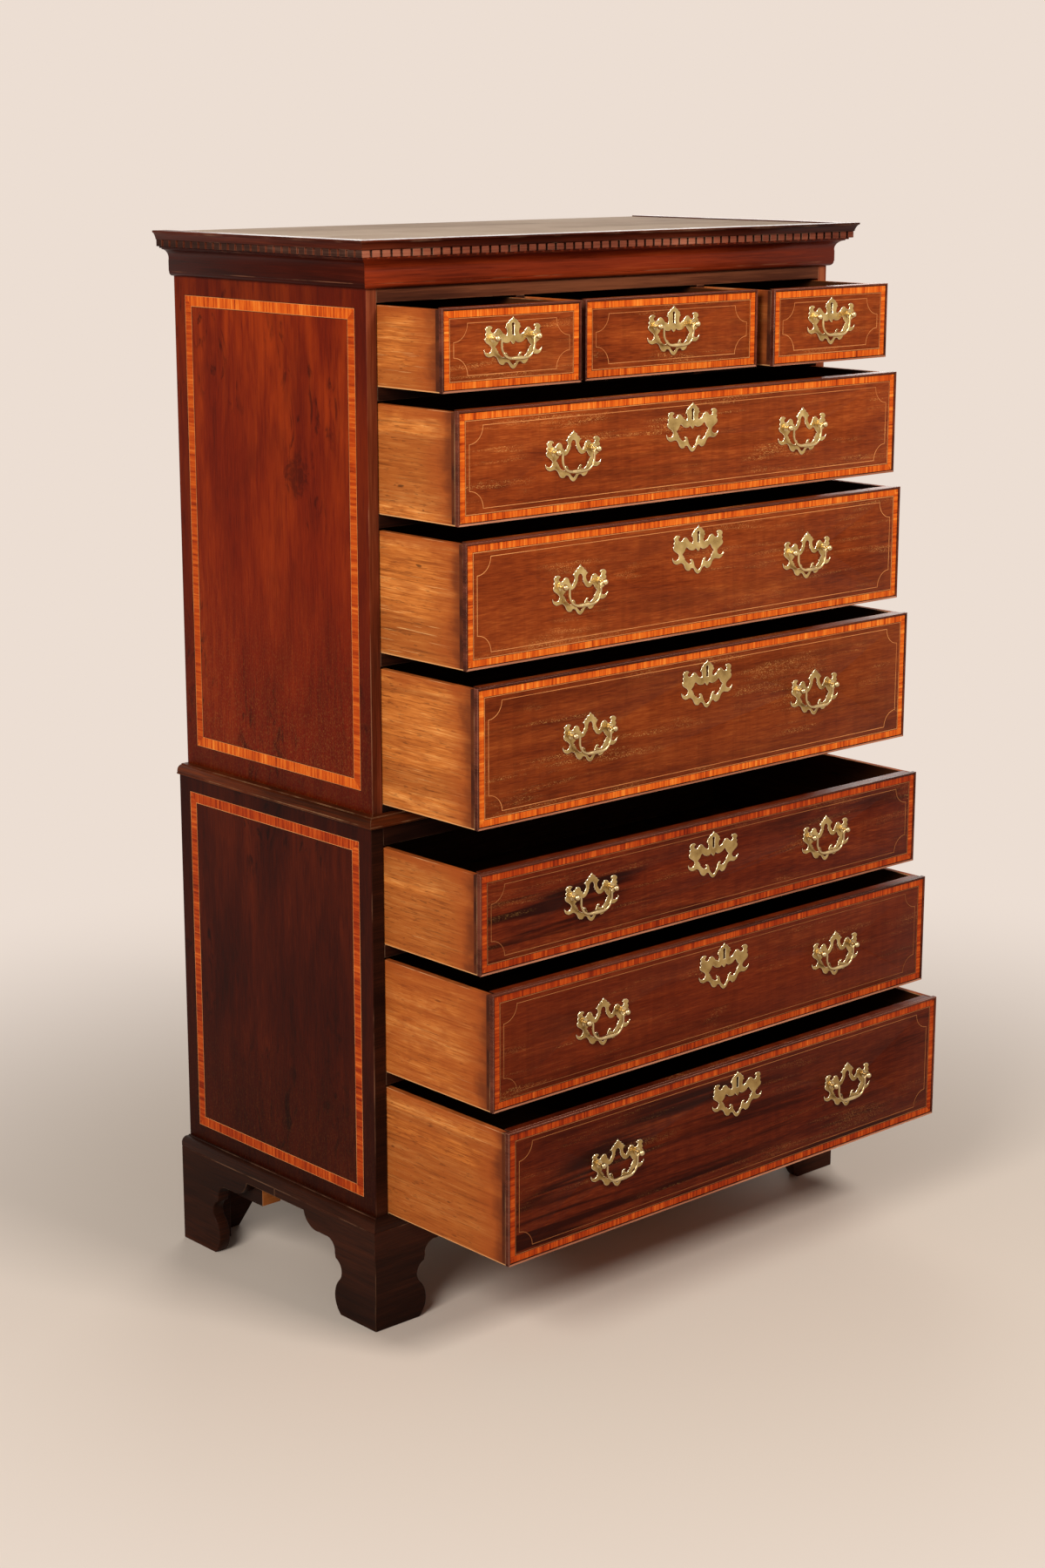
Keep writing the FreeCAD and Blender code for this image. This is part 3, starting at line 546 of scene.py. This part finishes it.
piece("upper_side_boards", lipped("upper_sides", 1.2 * mm), "case", "upper_side_mahogany",
      [upper_side_wood, stile_wood], "upper_sides")
for facing in ("left", "right"):
    piece("upper_side_banding_" + facing, banding(band_low, band_high, facing, side_rings),
          "case", "upper_side_mahogany", side_inlay)


# Cornice
# A hollow cove, a course of small dentils and a thin crown, each a mahogany moulding mitred at
# the corners. Rough boards cover the case inside the crown, grey with dust.
# painted light and shade: the cove and the dentils are each one wood, painted lighter on the
# front and darker on the returns
cove_front_lit_wood = timber("cove_front_mahogany", True,
                         [(0.25, (0.095, 0.0105, 0.003)), (0.5, (0.200, 0.0225, 0.005)),
                          (0.8, (0.34, 0.055, 0.013))], rubbed=(0.34, 0.13, 0.06), roughness=0.30)
cove_return_shaded_wood = timber("cove_return_mahogany", True,
                          [(0.25, (0.018, 0.0022, 0.0008)), (0.5, (0.036, 0.0036, 0.0012)),
                           (0.8, (0.080, 0.0100, 0.0030))],
                           rubbed=(0.25, 0.10, 0.05), roughness=0.32)
dentil_front_lit_wood = timber("dentil_front_mahogany", True,
                           [(0.25, (0.085, 0.018, 0.009)), (0.5, (0.21, 0.056, 0.028)),
                            (0.8, (0.40, 0.150, 0.085))],
                           rubbed=(0.40, 0.22, 0.14), roughness=0.42)
dentil_return_shaded_wood = timber("dentil_return_mahogany", True,
                            [(0.25, (0.016, 0.006, 0.004)), (0.5, (0.042, 0.015, 0.009)),
                             (0.8, (0.16, 0.085, 0.06))],
                            rubbed=(0.30, 0.18, 0.12), roughness=0.42)
crown_wood = timber("crown_mahogany", True,
                    [(0.25, (0.022, 0.0040, 0.002)), (0.5, (0.055, 0.0080, 0.003)),
                     (0.8, (0.12, 0.021, 0.007))], rubbed=(0.32, 0.17, 0.10), roughness=0.34)
dusty_board = timber("dusty_board", True,
                     [(0.25, (0.25, 0.168, 0.115)), (0.5, (0.41, 0.297, 0.217)),
                      (0.8, (0.53, 0.41, 0.31))], rubbed=(0.46, 0.36, 0.27), roughness=0.80,
                     figure=(6, 1.0), stripe=(50, 1.5), odd_boards=0.3)


def front_and_returns(node, width):
    """The strips of a moulding: the second finish, a darker copy with painted shade, is for those
    along the sides.
    """
    shape = eased(node, width)
    shape.normal_update()
    for face in shape.faces:
        face.material_index = int(abs(face.normal.x) > abs(face.normal.y))
    return shape


piece("cove_strips", front_and_returns("cornice_cove", 0.6 * mm), "case", "carcase_mahogany",
      [cove_front_lit_wood, cove_return_shaded_wood], "cornice_cove")
piece("dentil_strips", front_and_returns("cornice_dentils", 0.4 * mm), "case",
      "carcase_mahogany", [dentil_front_lit_wood, dentil_return_shaded_wood], "cornice_dentils")
piece("crown_strips", eased("cornice_crown", 0.8 * mm), "case", "carcase_mahogany",
      [crown_wood], "cornice_crown")
piece("top_boards", eased("cornice_top", 1 * mm), "case", "top_board", [dusty_board],
      "cornice_top")


# Drawer fronts
# Mahogany boards with level grain, dark streaks and tiny golden flecks. Each has a thin proud
# bead round it, a crossbanding of satinwood, and pale lines, the inner one with hollow corners.
def hollow_cornered_line(low, high, radius, width):
    """A fine line round the field whose corners are cut in as quarter circles."""
    shape = bmesh.new()
    half_x = (high.x - low.x) / 2
    half_y = (high.z - low.z) / 2
    quarters = []
    for x, y, first in ((half_x, half_y, (0, -radius)), (-half_x, half_y, (radius, 0)),
                        (-half_x, -half_y, (0, radius)), (half_x, -half_y, (-radius, 0))):
        start = shape.verts.new((x + first[0], y + first[1], 0))
        turned = bmesh.ops.spin(shape, geom=[start], cent=(x, y, 0), axis=(0, 0, 1),
                                angle=radians(-90), steps=9)["geom_last"]
        quarters.append((start, turned[0]))
    for index, (start, last) in enumerate(quarters):
        shape.edges.new((last, quarters[(index + 1) % len(quarters)][0]))
    bmesh.ops.contextual_create(shape, geom=shape.edges[:])
    bmesh.ops.recalc_face_normals(shape, faces=shape.faces)
    field = shape.faces[:]
    bmesh.ops.inset_region(shape, faces=field, thickness=width, use_boundary=True,
                           use_even_offset=True)
    bmesh.ops.delete(shape, geom=field, context="FACES")
    for face in shape.faces:
        face.material_index = pale
    let_in(shape, low, high, "front")
    return shape


def front_board(name, tones, streak_share, fleck_share):
    """Level figure with wavy dark streaks, in patches short golden flecks, and painted shade
    where it is marked.
    """
    def streaked(start, colour, broad):
        streak = (grain(start, True, 42.0, 1.6, detail=2.0, shift=13.0,
                        distortion=0.9).rising(0.46, 0.60)
                  * grain(start, True, 7.0, 2.2, detail=1.0, shift=41.0).rising(0.40, 0.58))
        colour = colour.towards(darker(tones, 0.3), streak * streak_share)
        ripple = grain(start, True, 6.0, 55.0, detail=2.0, shift=37.0).rising(0.40, 0.62)
        colour = colour.towards(darker(tones, 0.6), ripple * 0.16)
        specks = grain(start, True, 1500.0, 420.0, detail=1.0, shift=19.0).rising(0.57, 0.65)
        rows = grain(start, True, 75.0, 4.0, detail=2.0, shift=23.0).rising(0.50, 0.64)
        patches = grain(start, True, 9.0, 4.0, detail=2.0, shift=43.0).rising(0.44, 0.58)
        colour = colour.towards((0.85, 0.42, 0.12), specks * rows * patches * fleck_share)
        # painted shade: marked fronts are painted darker
        return colour.towards(darker(tones, 0.4), mark(start, "age"))
    return timber(name, True, tones, rubbed=(0.45, 0.24, 0.14), roughness=0.34, figure=(16, 2.6),
                  stripe=(120, 7.0), pores=(560, 40), weights=(0.75, 0.45, 0.7), change=streaked)


upper_front_wood = front_board("upper_front_mahogany",
                               [(0.20, (0.085, 0.0110, 0.0025)), (0.42, (0.175, 0.0270, 0.0045)),
                                (0.58, (0.245, 0.0430, 0.0070)), (0.80, (0.370, 0.0850, 0.0150))],
                               streak_share=0.25, fleck_share=0.7)
plain_front_wood = front_board("plain_front_mahogany",
                               [(0.20, (0.050, 0.0055, 0.0015)), (0.42, (0.095, 0.0115, 0.0025)),
                                (0.58, (0.125, 0.0170, 0.0035)), (0.80, (0.200, 0.0360, 0.0075))],
                               streak_share=0.30, fleck_share=0.35)
streaked_tones = [(0.20, (0.038, 0.0040, 0.0015)), (0.42, (0.082, 0.0095, 0.0022)),
                  (0.58, (0.120, 0.0160, 0.0035)), (0.80, (0.210, 0.0390, 0.0075))]
streaked_front_wood = front_board("streaked_front_mahogany", streaked_tones,
                                  streak_share=0.92, fleck_share=0.25)
front_end_wood = timber("front_end_mahogany", False,
                        [(0.25, (0.016, 0.005, 0.003)), (0.5, (0.045, 0.012, 0.006)),
                         (0.8, (0.13, 0.032, 0.013))], rubbed=(0.3, 0.12, 0.07), roughness=0.45)
# painted highlight and wear: the bead's outer corner is rubbed pale and carries a painted
# highlight, and the lowest bead's front is painted pale for both
bead_wood = timber("cockbead_mahogany", True,
                   [(0.3, (0.045, 0.010, 0.005)), (0.7, (0.13, 0.032, 0.016))],
                   rubbed=(0.74, 0.38, 0.27), roughness=0.34, wear=(0.28, 0.46, 0.8))
low_bead_worn_lit_wood = timber("rubbed_cockbead", True,
                       [(0.3, (0.24, 0.080, 0.040)), (0.7, (0.46, 0.190, 0.105))],
                       rubbed=(0.80, 0.42, 0.28), roughness=0.40, wear=(0.28, 0.46, 0.8))
# the finishes of a front: its board is the first
bead, board_end, low_bead = 1, 2, 3
bead_proud = 2 * mm
bead_width = 3 * mm
bead_depth = 6.1 * mm
bead_corner = 1.2 * mm
line_width = 0.9 * mm
line_inset = 20.5 * mm
hollow_radius = 28 * mm
front_rings = [(1.2 * mm, dark, dark), (10.5 * mm, band_level, band_upright),
               (0.8 * mm, dark, dark), (line_width, pale, pale)]
# painted shade: how much darker some of the fronts are painted, most on the lowest drawer of each
# case
painted_front_shade = {"upper_drawer_3": 0.30, "lower_drawer_3": 0.20, "upper_drawer_2": 0.06}
drawers = [name for name in frame["bodies"] if "drawer" in name and "bail" not in name]
for number, drawer in enumerate(drawers):
    is_lower = drawer.startswith("lower")
    front_wood = upper_front_wood
    if is_lower:
        front_wood = plain_front_wood if drawer.endswith("2") else streaked_front_wood
    low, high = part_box(drawer + "_front")
    face_y = low.y + bead_proud
    shape = eased(drawer + "_front", 0.95 * mm)
    shape.normal_update()
    board = shape.faces.layers.float["board"]
    worn = shape.faces.layers.float["worn"]
    age = shape.faces.layers.float.new("age")
    for face in shape.faces:
        middle = face.calc_center_median()
        from_edge = min(middle.x - low.x, high.x - middle.x, middle.z - low.z, high.z - middle.z)
        if from_edge < bead_width + 0.1 * mm and middle.y < face_y + bead_depth:
            face.material_index = bead
            # only the outer corner of the bead is pale, partly worn and partly a painted
            # highlight, and most of it under the front
            face[worn] *= int(from_edge < bead_corner)
            # painted highlight and wear: the front of the lowest bead is painted pale
            if middle.z - low.z < bead_width - 1 * mm and face.normal.y < -0.3:
                face.material_index = low_bead
        elif abs(face.normal.x) > 0.7 and abs(middle.x - (low.x + high.x) / 2) > 100 * mm:
            # the two ends of the board, not the walls of its keyhole
            face.material_index = board_end
        # no two fronts are cut from the same place
        face[board] += number * 5.0
        face[age] = painted_front_shade.get(drawer, 0)
    piece(drawer + "_front_board", shape, drawer, "front_mahogany",
          [front_wood, bead_wood, front_end_wood, low_bead_worn_lit_wood], drawer + "_front")
    edge = Vector((bead_width, 0, bead_width))
    field_low = Vector((low.x, face_y, low.z)) + edge
    field_high = high - edge
    veneers = lower_inlay[:2] + [dull_line, dark_line] if is_lower else upper_inlay
    piece(drawer + "_crossbanding", banding(field_low, field_high, "front", front_rings),
          drawer, "front_mahogany", veneers)
    inset = Vector((line_inset, 0, line_inset))
    piece(drawer + "_line", hollow_cornered_line(field_low + inset, field_high - inset,
                                                 hollow_radius, line_width),
          drawer, "front_mahogany", veneers)


# Drawer boxes
# Sides, back and bottom of unpolished golden wood, dovetailed to the front. Handling and polish
# have stained the sides dark for a hand's breadth behind the front.
def handled(start, colour, broad):
    """Broad bands along the board, scratches, dark pores, the stain and wear of use, and painted
    shade inside.
    """
    depth, rise, drop, age, inner = (
        mark(start, name) for name in ("depth", "rise", "drop", "age", "inner"))
    bands = grain(start, True, 15.0, 0.5, detail=1.0, shift=14.0).rising(0.492, 0.515)
    mottles = grain(start, True, 55.0, 14.0, detail=3.0, shift=33.0).rising(0.45, 0.62)
    colour = colour.towards((0.26, 0.064, 0.0125), bands * 0.55)
    colour = colour.towards((0.30, 0.072, 0.0130), mottles * 0.45)
    lines = grain(start, True, 430.0, 9.0, detail=2.0, shift=51.0)
    colour = colour.towards((0.085, 0.024, 0.007), lines.rising(0.55, 0.68) * 0.50)
    worked = grain(start, True, 12.0, 3.0, detail=1.0, shift=57.0).rising(0.48, 0.62)
    scratches = grain(start, True, 620.0, 11.0, detail=1.0, shift=71.0,
                      distortion=0.1).rising(0.66, 0.72)
    colour = colour.towards((0.85, 0.50, 0.20), scratches * worked * 0.55)
    pits = grain(start, True, 420.0, 55.0, detail=1.0, shift=9.0).rising(0.60, 0.70)
    marks = grain(start, True, 90.0, 22.0, detail=1.0, shift=27.0).rising(0.71, 0.76)
    colour = colour.towards((0.055, 0.018, 0.007), pits * 0.45)
    colour = colour.towards((0.030, 0.010, 0.005), marks * 0.7)
    smears = grain(start, True, 24.0, 16.0, detail=3.0, shift=61.0, distortion=0.3)
    # the red stain of polish: with age, along the top edge, and behind the front, where it is
    # darkest and its border wanders
    wandering = depth + (broad - 0.5) * (50 * mm) + (smears - 0.5) * (70 * mm)
    under_top = drop + (smears - 0.5) * (50 * mm)
    red = (0.30, 0.060, 0.0110)
    colour = colour.towards(red, age * (0.5 + smears.rising(0.42, 0.6) * 0.5))
    colour = colour.towards(red, 0.65 * (1 - under_top.rising(4 * mm, 24 * mm)))
    colour = colour.towards(red, 0.75 * (1 - wandering.rising(20 * mm, 100 * mm)))
    colour = colour.towards((0.075, 0.016, 0.007), 0.70 * (1 - wandering.rising(6 * mm, 44 * mm)))
    # the front laps over the end of the side, and the bottom edge is worn pale by the runner
    lap = 1 - depth.rising(13.5 * mm, 14.5 * mm)
    colour = colour.towards((0.040, 0.011, 0.006), lap * (0.55 + 0.4 * smears.rising(0.4, 0.6)))
    colour = colour.towards((0.72, 0.36, 0.14), 0.7 * (1 - rise.rising(1.6 * mm, 2.4 * mm)))
    # painted shade: the inside and the bottom are painted nearly black
    return colour.towards((0.014, 0.006, 0.003), inner * 0.88)


lining = timber("drawer_lining", True,
                [(0.20, (0.26, 0.066, 0.012)), (0.42, (0.48, 0.138, 0.024)),
                 (0.58, (0.56, 0.182, 0.037)), (0.80, (0.72, 0.300, 0.080))],
                rubbed=(0.70, 0.42, 0.20), roughness=0.62, figure=(26, 1.1), stripe=(190, 7.0),
                pores=(640, 24), weights=(0.9, 0.9, 1.0), ridge=0.25, change=handled)
side_age = {"lower_drawer_2": 0.60, "lower_drawer_3": 0.25, "small_drawer_left": 0.15}
for number, drawer in enumerate(drawers):
    front_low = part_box(drawer + "_front")[0]
    low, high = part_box(drawer + "_box")
    middle = (low + high) / 2
    shape = eased(drawer + "_box", 0.8 * mm)
    board = shape.faces.layers.float["board"]
    inner = shape.faces.layers.float.new("inner")
    depth = shape.verts.layers.float.new("depth")
    rise = shape.verts.layers.float.new("rise")
    drop = shape.verts.layers.float.new("drop")
    age = shape.faces.layers.float.new("age")
    shape.normal_update()
    for face in shape.faces:
        place = face.calc_center_median()
        inwards = (middle - place).dot(Vector((face.normal.x, face.normal.y, 0)))
        # painted shade: the inside, bottom included, is painted nearly black
        on_bottom = face.normal.z > 0.9 and place.z < low.z + 30 * mm
        face[inner] = int(inwards > 10 * mm or on_bottom)
        face[board] += number * 4.0
        face[age] = side_age.get(drawer, 0)
    for vert in shape.verts:
        vert[depth] = vert.co.y - front_low.y - bead_proud
        vert[rise] = vert.co.z - low.z
        vert[drop] = high.z - vert.co.z
    piece(drawer + "_box_boards", shape, drawer, "drawer_lining", [lining], drawer + "_box")


# Brasses
# Pierced plates cast and filed from sheet brass, ball posts bolted through the front with nuts
# inside, and hanging bails whose grip swells in the middle. The locks behind them are steel.
def metal(name, tones, bright, roughness):
    """Aged metal: darker in the flats, rubbed bright along the edges, and painted darker where
    shade is marked.
    """
    material, start = blank_material(name)
    place = start.node("TexCoord", {}, {}, "Object")
    edge = mark(start, "worn")
    cloud = start.node("TexNoise", {}, {"Vector": place, "Scale": 55.0, "Detail": 3.0})
    speck = start.node("TexNoise", {}, {"Vector": place, "Scale": 900.0, "Detail": 2.0})
    colour = start.node("ValToRGB", {"stops": tones}, {"Fac": cloud * 0.8 + speck * 0.2},
                        "Color")
    # the age-and-shade mark, which on brass is painted shade, makes it darker and a little
    # browner
    shaded_tone = [part * share for part, share in zip(tones[0][1], (0.55, 0.44, 0.42))]
    colour = colour.towards(shaded_tone, mark(start, "age"))
    bump = start.node("Bump", {}, {"Strength": 0.12, "Distance": 0.3 * mm,
                                   "Height": cloud * 0.6 + speck * 0.4})
    start.node("OutputMaterial", {}, {"Surface": start.node("BsdfPrincipled", {}, {
        "Base Color": colour.towards(bright, edge * 0.7), "Metallic": 1.0, "Normal": bump,
        "Roughness": roughness + 0.3 * (cloud - 0.5) - edge * 0.1})})
    return material


brass = metal("aged_brass", [(0.30, (0.34, 0.215, 0.070)), (0.46, (0.54, 0.375, 0.135)),
                             (0.56, (0.64, 0.460, 0.175)), (0.70, (0.80, 0.61, 0.260))],
              bright=(1.0, 0.90, 0.64), roughness=0.32)
steel = metal("lock_steel", [(0.38, (0.13, 0.115, 0.10)), (0.62, (0.32, 0.29, 0.26))],
              bright=(0.5, 0.47, 0.42), roughness=0.5)
# the left half of a plate in millimetres from its middle, from the tip at the top to the one
# at the bottom: first the crest, which is a shield where there is a keyhole
open_crest = [(0, 40.5), (-2.8, 37.3), (-5.3, 35.3), (-7.9, 34.6), (-7.6, 32.3), (-10.3, 31.0),
              (-12.8, 29.6), (-13.2, 27.4), (-15.0, 26.4), (-17.2, 25.4), (-13.9, 23.4),
              (-12.2, 21.0), (-12.2, 17.9), (-13.6, 14.7), (-15.7, 11.7), (-18.2, 9.2),
              (-20.4, 9.9), (-21.2, 12.6), (-23.6, 13.6), (-23.9, 16.4)]
keyed_crest = [(0, 40.5), (-2.4, 37.4), (-4.8, 35.6), (-7.4, 34.8), (-9.3, 33.0), (-11.2, 30.6),
               (-14.2, 29.4), (-13.9, 26.8), (-14.9, 25.2), (-16.6, 23.4), (-13.4, 21.8),
               (-12.6, 18.9), (-11.9, 15.7), (-13.0, 12.6), (-15.6, 11.6), (-17.6, 13.6),
               (-20.6, 14.2), (-22.2, 16.6)]
wing = [(-25.1, 19.7), (-27.9, 22.0), (-31.2, 22.8), (-34.4, 21.7), (-36.6, 19.5), (-38.4, 17.4),
        (-40.9, 16.6), (-43.9, 17.2), (-46.0, 19.2), (-46.6, 21.8), (-44.6, 22.6), (-42.2, 24.6),
        (-44.7, 26.6), (-48.8, 27.5), (-52.9, 26.8), (-56.0, 24.6), (-57.0, 22.0), (-56.2, 19.8),
        (-54.4, 18.4), (-56.6, 16.4), (-57.2, 13.4), (-55.2, 11.6), (-57.6, 9.4), (-58.4, 6.2),
        (-56.8, 3.2), (-53.8, 1.0), (-50.4, -1.0), (-47.4, -3.0), (-45.4, -5.0), (-44.6, -7.6),
        (-45.8, -10.6), (-48.8, -13.0), (-52.2, -13.8), (-55.6, -13.0), (-58.2, -11.2),
        (-60.0, -8.4), (-59.8, -12.1), (-58.3, -15.7), (-55.3, -18.4), (-50.6, -20.4),
        (-45.8, -20.0), (-41.5, -18.9), (-37.6, -19.4), (-34.4, -21.6), (-32.2, -24.7),
        (-30.8, -27.9), (-28.4, -31.0), (-25.1, -33.0), (-21.3, -33.6), (-18.6, -32.5),
        (-17.0, -30.2), (-13.7, -29.6), (-10.6, -30.8), (-8.3, -34.0), (-6.0, -37.2),
        (-3.1, -39.4), (0, -40.5)]
# and back up round the opening in its middle
opening = [(0, -34.3), (-2.3, -32.9), (-5.0, -30.4), (-7.4, -27.4), (-9.2, -23.9), (-10.2, -20.0),
           (-11.9, -16.6), (-14.5, -14.7), (-17.5, -14.8), (-19.0, -16.6), (-16.6, -17.6),
           (-16.2, -19.4), (-18.0, -21.0), (-21.1, -21.5), (-23.6, -20.8), (-25.4, -18.9),
           (-27.6, -18.2), (-28.4, -16.0), (-31.0, -14.6), (-31.0, -11.6), (-33.6, -9.8),
           (-34.0, -7.4), (-37.2, -5.4), (-35.4, -3.4), (-32.6, -1.2), (-30.4, 2.0),
           (-29.2, 4.6), (-27.2, 5.8)]
open_top = [(-25.0, 3.6), (-22.0, 2.0), (-18.3, 1.5), (-14.8, 2.5), (-11.8, 4.7), (-9.8, 7.4),
            (-8.2, 10.0), (-6.4, 11.2), (-6.8, 13.6), (-4.8, 15.4), (-5.6, 17.6), (-5.0, 20.6),
            (-3.4, 23.8), (0, 25.2)]
keyed_top = [(-25.2, 4.8), (-23.5, 3.2), (-21.1, 1.4), (-17.8, 0.2), (-13.7, -0.5), (-9.6, -0.2),
             (-7.2, 1.2), (-5.4, 2.6), (-3.9, 0.6), (-2.3, -1.4), (0, -2.9)]
# the keyhole: the radius of its round, half the width of its slot, the height of its foot and of
# the middle of its round, how far below that the slot begins, and its corner at 45 degrees
key_round, key_slot, key_end, key_rise, slot_drop, diagonal = 3.0, 2.2, 12.0, 27.5, 2.04, 2.12


def pierced_plate(low, high, keyed):
    """A plate cut to its outline, one half mirrored into the other, with its rim filed round."""
    shape = bmesh.new()
    half = (keyed_crest if keyed else open_crest) + wing + opening
    half += keyed_top if keyed else open_top
    if keyed:
        half += [(0, key_end), (-key_slot, key_end), (-key_slot, key_rise - slot_drop),
                 (-key_round, key_rise), (-diagonal, key_rise + diagonal),
                 (0, key_rise + key_round)]
    corners = [shape.verts.new((x * mm, z * mm, 0)) for x, z in half]
    for first, second in zip(corners, corners[1:] + corners[:1]):
        shape.edges.new((first, second))
    bmesh.ops.contextual_create(shape, geom=shape.edges[:])
    bmesh.ops.mirror(shape, geom=shape.verts[:] + shape.edges[:] + shape.faces[:], axis="X",
                     merge_dist=10 * micron)
    bmesh.ops.remove_doubles(shape, verts=shape.verts, dist=10 * micron)
    bmesh.ops.recalc_face_normals(shape, faces=shape.faces)
    thick = high.y - low.y
    let_in(shape, Vector((low.x, high.y, low.z)), high, "front", thick, thick)
    rub(shape, [edge for edge in shape.edges if edge.calc_face_angle(0) > radians(60)
                and max(v.co.y for v in edge.verts) < low.y + thick / 2], 0.6 * mm)
    return shape


# painted shade: how much darker the brass is painted, least on the upper drawers, where more
# light falls
brass_painted_shade = {"upper_drawer_3": 0.30, "lower_drawer_1": 0.38, "lower_drawer_2": 0.44,
             "lower_drawer_3": 0.50}


def kept(shape, rubbed, drawer):
    """Rubs a piece of brass bright, as hands do, on posts and bails also a painted highlight; on
    the lower drawers it is painted darker, as shade.
    """
    worn = shape.faces.layers.float["worn"]
    age = shape.faces.layers.float.new("age")
    for face in shape.faces:
        # posts and bails are paler all over: partly the wear of hands, partly a painted highlight
        face[worn] = max(face[worn], rubbed)
        # painted shade: brass on the lower drawers is painted darker
        face[age] = brass_painted_shade.get(drawer, 0.08)
    return shape


for drawer in drawers:
    front_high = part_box(drawer + "_front")[1]
    shape = eased(drawer + "_brasses", 0.45 * mm)
    board = shape.faces.layers.float["board"]
    solids = {}
    for face in shape.faces:
        solids.setdefault(face[board], []).append(face)
        # nuts and lock stand behind the front and are steel
        face.material_index = int(face.calc_center_median().y > front_high.y - 0.5 * mm)
    plates = 0
    for faces in solids.values():
        corners = [v.co for face in faces for v in face.verts]
        low = Vector([min(c[i] for c in corners) for i in range(3)])
        high = Vector([max(c[i] for c in corners) for i in range(3)])
        is_plate = high.y - low.y < 2.5 * mm and high.x - low.x > 80 * mm
        if is_plate:
            keyed = drawer.startswith("small") or abs(low.x + high.x) / 2 < 50 * mm
            bmesh.ops.delete(shape, geom=faces, context="FACES")
            plates += 1
            piece(drawer + "_plate_%d" % plates,
                  kept(pierced_plate(low, high, keyed), 0.0, drawer), drawer, "brass", [brass])
    piece(drawer + "_posts", kept(shape, 0.3, drawer), drawer, "brass", [brass, steel],
          drawer + "_brasses")
    for bail in frame["bodies"]:
        if bail.startswith(drawer + "_bail"):
            piece(bail + "_handle", kept(eased(bail, 0.3 * mm), 0.25, drawer), bail, "brass",
                  [brass], bail)
